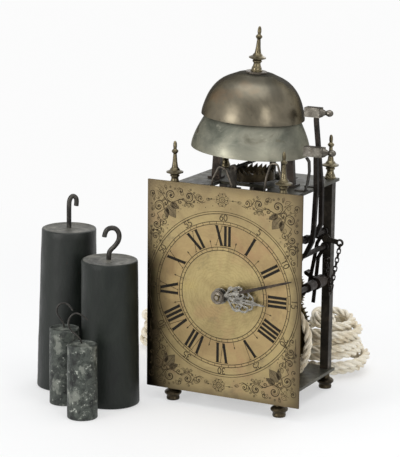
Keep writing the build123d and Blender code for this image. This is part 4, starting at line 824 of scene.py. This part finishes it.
STEMS = (
    [(31, 93), (34, 89.6), (40, 88.6), (46, 92.4), (52, 90), (58, 87.4), (64, 90), (69, 96), (75, 99)],
    [(80.4, 46), (78.6, 57), (70.4, 60), (70, 68), (74, 75), (66.4, 80), (68, 88), (76, 91)],
    [(20, 92), (24, 90.6), (30, 93), (33, 98), (40, 101.6)], [(80.6, 38), (81, 50), (79.8, 62)],
)
PITS = (
    (50.2, 84.6), (47.4, 82.2), (33.0, 86.6), (61.6, 64.6), (62.4, 61.0), (29.0, 90.4), (45.4, 86.2),
    (66.6, 56.4), (16.4, 95.2),
)


def corner_ornament():
    """Scrolls with crests of leaves and a shaded tulip: the corner's cuts and its shaded patches."""
    parts = []
    for n, (u, v, radius, turns, start, sense) in enumerate(SCROLLS):
        large = n < LARGE_SCROLLS
        parts.append(ribbon(scroll(u, v, radius, turns, start, sense), 1.2 if large else 0.9, taper=True))
        if large:
            parts.append(ribbon(scroll(u, v, radius - 1.5, turns * 0.7, start, sense), 0.45, taper=True))
            parts += crest(u, v, radius + 0.5, start, start + sense * 230, 7, 2.6)
        parts.append(filled(circle_points(0.22 * radius, 10, u + 0.2, v)))
    for one in LEAVES:
        parts += leaf(*one)
    for stem in STEMS:
        parts.append(ribbon(stem, 0.8, taper=True))
    for u, v in PITS:
        parts.append(filled(circle_points(0.55, 8, u, v)))
    for one in TULIP:
        parts += leaf(*one, True)
    return parts, [filled(petal(*one)) for one in TULIP]


def mirrored(parts, across, upright, shift):
    """The parts mirrored about the dial's centre lines, with a shift along the height."""

    def moved(x, y, z):
        """One point of the mirrored parts, in metres."""
        return x * across, y, (CENTRE + (z * 1000 - CENTRE) * upright + shift) / 1000

    return [([moved(*vertex) for vertex in vertices], faces) for vertices, faces in parts]


def rosette(u, v, radius):
    """An eight-petalled flower with its eye, and a lozenge and a short line on each side."""
    parts = [ribbon(circle_points(1.2, 16, u, v), 0.6, closed=True)]
    parts.append(ribbon(circle_points(2.6, 24, u, v), 0.5, closed=True))
    foot, rim, petals = 2.8, radius - 1.4, 8
    for i in range(petals):
        turn, between = tau * (i + 0.5) / petals, tau * i / petals
        parts += leaf(u + foot * cos(turn), v + foot * sin(turn), radius - foot, 1.9, 45 * (i + 0.5))
        parts.append(filled(circle_points(0.6, 8, u + rim * cos(between), v + rim * sin(between))))
    for side in (-1, 1):
        near, middle, far = u + side * 10.4, u + side * 11.8, u + side * 13.2
        parts.append(filled([(near, v), (middle, v + 0.9), (far, v), (middle, v - 0.9)]))
        parts.append(ribbon([(u + side * 7.6, v), (u + side * 16, v)], 0.4))
    return parts


LOOSE_PITS = (
    (8, 88), (-12, 89), (26, 90), (-27, 90), (50, 80), (-50, 79), (-48, -81), (46, -82), (-20, 86.5),
    (14, -87), (-34, -86),
)
LOWER_SHIFT = 3.4
ornament, shades = corner_ornament()
for across in (-1, 1):
    for upright, shift in ((1, 0), (-1, LOWER_SHIFT)):
        cut += mirrored(ornament, across, upright, shift)
        patches += mirrored(shades, across, upright, shift)
cut += rosette(-1.7, 95.8, 7.6) + rosette(-2.9, -93.7, 7.4)
for u, v in LOOSE_PITS:
    cut.append(filled(circle_points(0.5, 8, u, v)))
# The shaded patches lie 0.03 mm behind the cuts.
for name, parts, mat, depth in (
    ("dial_numerals", black, engraved, 0.0),
    ("dial_engraving", cut, cut_line, 0.0),
    ("dial_shading", patches, cut_patch, 0.00003),
):
    marks = joined(name, parts, mat)
    marks.data.transform(Matrix.Translation((0, depth, 0)))
    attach(marks, "frame")


# ---------------------------------------------------------------- hands
def plate(name, outlines, mat, y_front, thickness, angle):
    """A cut plate of closed outlines in mm, inner ones holes; +u points to angle (degrees) on the dial."""
    edge_round = 0.00012
    curve = bpy.data.curves.new(name, "CURVE")
    curve.dimensions = "2D"
    curve.fill_mode = "BOTH"
    for outline in outlines:
        spline = curve.splines.new("POLY")
        spline.points.add(len(outline) - 1)
        for point, (u, v) in zip(spline.points, outline):
            point.co = (u / 1000, v / 1000, 0, 1)
        spline.use_cyclic_u = True
    curve.extrude = thickness / 2000
    curve.bevel_depth = edge_round
    temporary = bpy.data.objects.new(name, curve)
    scene.collection.objects.link(temporary)
    mesh = bpy.data.meshes.new_from_object(temporary)
    bpy.data.objects.remove(temporary)
    mesh.materials.clear()
    mesh.materials.append(mat)
    turn = Matrix.Rotation(radians(90 - angle), 4, "Z")
    stand = Matrix.Rotation(pi / 2, 4, "X")
    mesh.transform(Matrix.Translation(mm(0, y_front + thickness / 2, CENTRE)) @ stand @ turn)
    obj = bpy.data.objects.new(name, mesh)
    scene.collection.objects.link(obj)
    return obj


def band(points, width, ends=0.4):
    """The outline of a curved band that thins to its ends."""
    count = len(points)
    left, other = [], []
    for i, (u, v) in enumerate(points):
        a, b = points[max(i - 1, 0)], points[min(i + 1, count - 1)]
        du, dv = b[0] - a[0], b[1] - a[1]
        run = hypot(du, dv) or 1.0
        half = width / 2 * (ends + (1 - ends) * sin(pi * (i + 0.5) / count))
        left.append((u - dv / run * half, v + du / run * half))
        other.append((u + dv / run * half, v - du / run * half))
    return left + other[::-1]


def hand_piece(name, body, node, angle, y_front, thickness, hub, bore, bands, tip, tip_mat):
    """A pierced hand: its ring, its scrolls on both sides, and its blade, given as one edge to the point."""
    circles = [circle_points(hub, 40), circle_points(bore, 24)]
    pieces = [plate(name, circles, bright_steel, y_front, thickness, angle)]
    for n, (points, width) in enumerate(bands):
        for side in (-1, 1):
            outline = band([(u, v * side) for u, v in points], width)
            front, depth = y_front + 0.05 * n, thickness - 0.1 * n
            pieces.append(plate(f"{name}_scroll_{n}_{side}", [outline], bright_steel, front, depth, angle))
    blade = tip + [(u, -v) for u, v in tip[-2::-1]]
    pieces.append(plate(name + "_blade", [blade], tip_mat, y_front - 0.05, thickness, angle))
    for piece in pieces:
        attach(piece, body)
    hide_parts(node)


# Angles in degrees from +X, then in mm: the front, the thickness, and the radii of the ring and its hole.
MINUTE_HAND = (72.5, -76.6, 1.2, 6.0, 2.05)
HOUR_HAND = (95.2, -71.6, 1.2, 8.0, 5.05)
hand_piece(
    "minute_hand_plate", "minute_arbor", "minute_hand", *MINUTE_HAND,
    [
        ([(5, 0.6), (9, 0.9), (12, 2.8), (15.5, 4.8), (19.5, 5.2), (22.5, 3.8), (22.2, 2.0), (20.2, 1.8),
          (19.4, 3.0)], 2.0),
        ([(18, 4.8), (22, 6.0), (26, 5.4), (28.4, 3.4), (27.6, 1.8), (25.8, 2.0)], 1.7),
        ([(9, 0.5), (14, 0.8), (20, 0.7), (27, 0.9)], 1.5),
        ([(12, 3.4), (14.6, 6.6), (17.4, 7.4), (18.6, 6.0)], 1.3),
    ],
    [(24, 1.0), (30, 1.55), (40, 1.45), (60, 1.2), (76, 0.95), (82, 0.5), (83.4, 0.0)], hand_steel)
hand_piece(
    "hour_hand_plate", "hour", "hour_hand", *HOUR_HAND,
    [
        ([(7, 1.4), (10, 3.0), (12.5, 6.4), (15, 9.6), (18.6, 11.2), (22.0, 10.0), (22.2, 7.0), (19.8, 5.8),
          (18.0, 7.2), (18.8, 8.8)], 2.4),
        ([(21, 9.0), (25, 10.8), (29, 10.4), (31.4, 7.8), (30.4, 5.2), (27.8, 4.8), (27.0, 6.8)], 2.1),
        ([(30, 7.0), (33, 7.2), (35.6, 5.4), (36, 3.0), (34, 2.2)], 1.6),
        ([(9, 0.9), (15, 1.6), (22, 1.4), (30, 1.5), (36, 1.2)], 2.2),
        ([(12, 4.4), (15, 3.6), (20, 3.4), (25, 4.0), (28, 5.4)], 1.6),
        ([(22, 3.0), (24, 5.4), (23.4, 7.6)], 1.3),
    ],
    [(34, 1.4), (37, 2.2), (39.5, 1.2), (44, 0.9), (48, 0.5), (48.9, 0.0)], bright_steel)
COLLET = (
    (2.1, 0), (6.9, 0), (7.2, 0.3), (7.2, 0.9), (6.8, 1.2), (6.1, 1.1), (5.7, 0.5), (4.8, 0.4),
    (4.5, 1.0), (4.0, 1.4), (2.1, 1.5),
)
collet = lathe("hand_collet", [mm(*p) for p in COLLET], steel, 48, mm(0, -76.65, CENTRE), "Y")
nut_points = [(3.5 * cos(tau * i / 4 + 0.5), 3.5 * sin(tau * i / 4 + 0.5)) for i in range(4)]
nut = plate("hand_nut", [nut_points, circle_points(2.05, 20)], wheel_brass, -79.6, 1.2, 0)
for piece in (collet, nut):
    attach(piece, "minute_arbor")


# ---------------------------------------------------------------- weights
# The direction of the hooks' plane on the floor.
HOOK_PLANE = (0.89, 0.457)
CAST_ROUGHNESS = 0.00028
LEAD_ROUGHNESS = 0.00032


def clock_weight(name, node, body, place, height, foot, top, mats, hook, wire_radius, seed, roughness,
                 lean=0.0):
    """A cast weight in mm that narrows and leans a little along the hooks' plane, with its lid and hook."""
    x, y = place
    mat, cap_mat = mats
    edge = 0.05 * foot
    profile = [(0.0001, 0.0), (foot - edge, 0.0), (foot - 0.25 * edge, 0.25 * edge), (foot, edge)]
    rows = 26
    for i in range(1, rows):
        profile.append((foot + (top - foot) * i / rows, edge + (height - 2 * edge) * i / rows))
    profile += [(top, height - edge), (top - 0.3 * edge, height - 0.3 * edge), (top - edge, height)]
    solid = lathe(name, [mm(r, h) for r, h in profile], mat, 72, mm(x, y, 0), rough=roughness, seed=seed)
    for polygon in solid.data.polygons:
        if abs(polygon.normal.z) > 0.95:
            polygon.use_smooth = False
    cap = [mm(r, h) for r, h in (
        (top - edge, height), (top - 1.6 * edge, height + 0.1), (top - 2.2 * edge, height - 0.5),
        (0.35 * top, height - 0.3), (0.2 * top, height + 0.2), (0.0001, height + 0.2))]
    lid = lathe(name + "_top", cap, cap_mat, 72, mm(x, y, 0), rough=roughness * 0.6, seed=seed + 3)
    for piece in (solid, lid):
        for vertex in piece.data.vertices:
            slip = lean * vertex.co.z / height
            vertex.co.x += HOOK_PLANE[0] * slip
            vertex.co.y += HOOK_PLANE[1] * slip
    line = [mm(x + HOOK_PLANE[0] * (a + lean), y + HOOK_PLANE[1] * (a + lean), height + b) for a, b in hook]
    loop = wire(name + "_hook", line, wire_radius / 1000, hook_steel)
    for piece in (solid, lid, loop):
        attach(piece, body)
    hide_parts(node)


clock_weight(
    "back_weight", "large_weight_left", "weight_large_left", (-180.8, -64.8), 167.0, 31.0, 28.0,
    (red_paint, weight_top),
    ((0, -8), (0, 8), (0, 22), (0.4, 29), (3.4, 33.6), (7.2, 32.0), (8.0, 27.4), (7.4, 23)),
    2.5, 1.0, CAST_ROUGHNESS, 2.8)
clock_weight(
    "front_weight", "large_weight_right", "weight_large_right", (-111.0, -95.6), 148.0, 29.6, 28.4,
    (paint, weight_top),
    ((-1, -8), (-1, 4), (0, 9), (5.5, 14), (9.4, 20), (9.6, 27), (6, 32), (0, 32.4), (-4.4, 29), (-5.4, 23)),
    2.5, 4.0, CAST_ROUGHNESS, -0.8)
clock_weight(
    "small_weight_a", "small_weight_left", "weight_small_left", (-150.2, -120.2), 78.0, 15.4, 15.0,
    (lead, lead), ((0, -6), (0, 3), (-3, 8), (-8.4, 16), (-6, 24), (0, 26), (5.4, 23), (8.4, 18)),
    0.9, 8.0, LEAD_ROUGHNESS)
clock_weight(
    "small_weight_b", "small_weight_right", "weight_small_right", (-109.7, -153.7), 75.0, 15.2, 14.7,
    (lead, lead), ((0, -6), (0, 2), (-5, 8), (-13, 15), (-14, 24), (-8, 31.5), (0, 29.5), (5.4, 24)),
    0.9, 12.0, LEAD_ROUGHNESS)

# ---------------------------------------------------------------- materials of the CAD nodes
FINISHES = {
    plate_iron: ("base_plate", "top_plate"),
    iron: ("corner_posts", "front_bar", "middle_bar", "rear_bar", "escapement_cocks", "wheel_studs",
           "repeat_lever", "hammer_springs"),
    lever_iron: ("locking_detent", "lifting_lever", "pull_chain", "return_chain"),
    stand_iron: ("bell_stand",),
    dark_brass: ("feet", "crown_wheel"),
    brass: ("post_finials", "bell_finial"),
    dial_brass: ("dial_plate",),
    upper_bell: ("upper_bell",),
    lower_bell: ("lower_bell",),
    head_steel: ("upper_hammer_head", "lower_hammer_head"),
    steel: ("bell_stud", "spring_hoops", "pendulum_rod", "crown_arbor",
            "going_great_arbor", "centre_arbor", "contrate_arbor", "striking_great_arbor", "locking_arbor"),
    dark_steel: ("upper_hammer_arbor", "lower_hammer_arbor", "verge", "fly"),
    wheel_brass: ("going_great_wheel", "going_rope_pulley", "centre_wheel", "reverser_wheel", "hour_wheel",
                  "contrate_wheel", "pendulum_bob", "striking_great_wheel", "striking_rope_pulley",
                  "locking_wheel", "warning_wheel", "count_wheel"),
}
for mat, names in FINISHES.items():
    for name in names:
        mesh = nodes[name].data
        mesh.materials.clear()
        mesh.materials.append(mat)

# ---------------------------------------------------------------- floor
# The floor takes shadows near the clock and fades to the screen's white further out.
FLOOR_HALF, FLOOR_Z = 4, -0.0004
floor_mat = bpy.data.materials.new("floor")
floor_mat.use_nodes = True
tree = floor_mat.node_tree
shader = tree.nodes["Principled BSDF"]
shader.inputs["Base Color"].default_value = (0.95, 0.955, 0.96, 1)
shader.inputs["Roughness"].default_value = 0.6
shader.inputs["Specular IOR Level"].default_value = 0.2
place = tree.nodes.new("ShaderNodeTexCoord")
reach = tree.nodes.new("ShaderNodeVectorMath")
reach.operation = "LENGTH"
fade = tree.nodes.new("ShaderNodeMapRange")
fade.interpolation_type = "SMOOTHSTEP"
for socket, value in (("From Min", 0.25), ("From Max", 0.95), ("To Min", 0.5), ("To Max", 1.0)):
    fade.inputs[socket].default_value = value
white = tree.nodes.new("ShaderNodeEmission")
white.inputs["Color"].default_value = (1, 1, 1, 1)
white.inputs["Strength"].default_value = SCREEN_WHITE
mix = tree.nodes.new("ShaderNodeMixShader")
tree.links.new(place.outputs["Object"], reach.inputs[0])
tree.links.new(reach.outputs["Value"], fade.inputs["Value"])
share = product(tree, seen_rays(tree, tree.nodes.new("ShaderNodeLightPath")), fade.outputs[0])
tree.links.new(share, mix.inputs[0])
tree.links.new(shader.outputs[0], mix.inputs[1])
tree.links.new(white.outputs[0], mix.inputs[2])
tree.links.new(mix.outputs[0], tree.nodes["Material Output"].inputs[0])
corners = [(x * FLOOR_HALF, y * FLOOR_HALF, FLOOR_Z) for x, y in ((-1, -1), (1, -1), (1, 1), (-1, 1))]
floor = mesh_object("floor", corners, [(0, 1, 2, 3)], floor_mat)
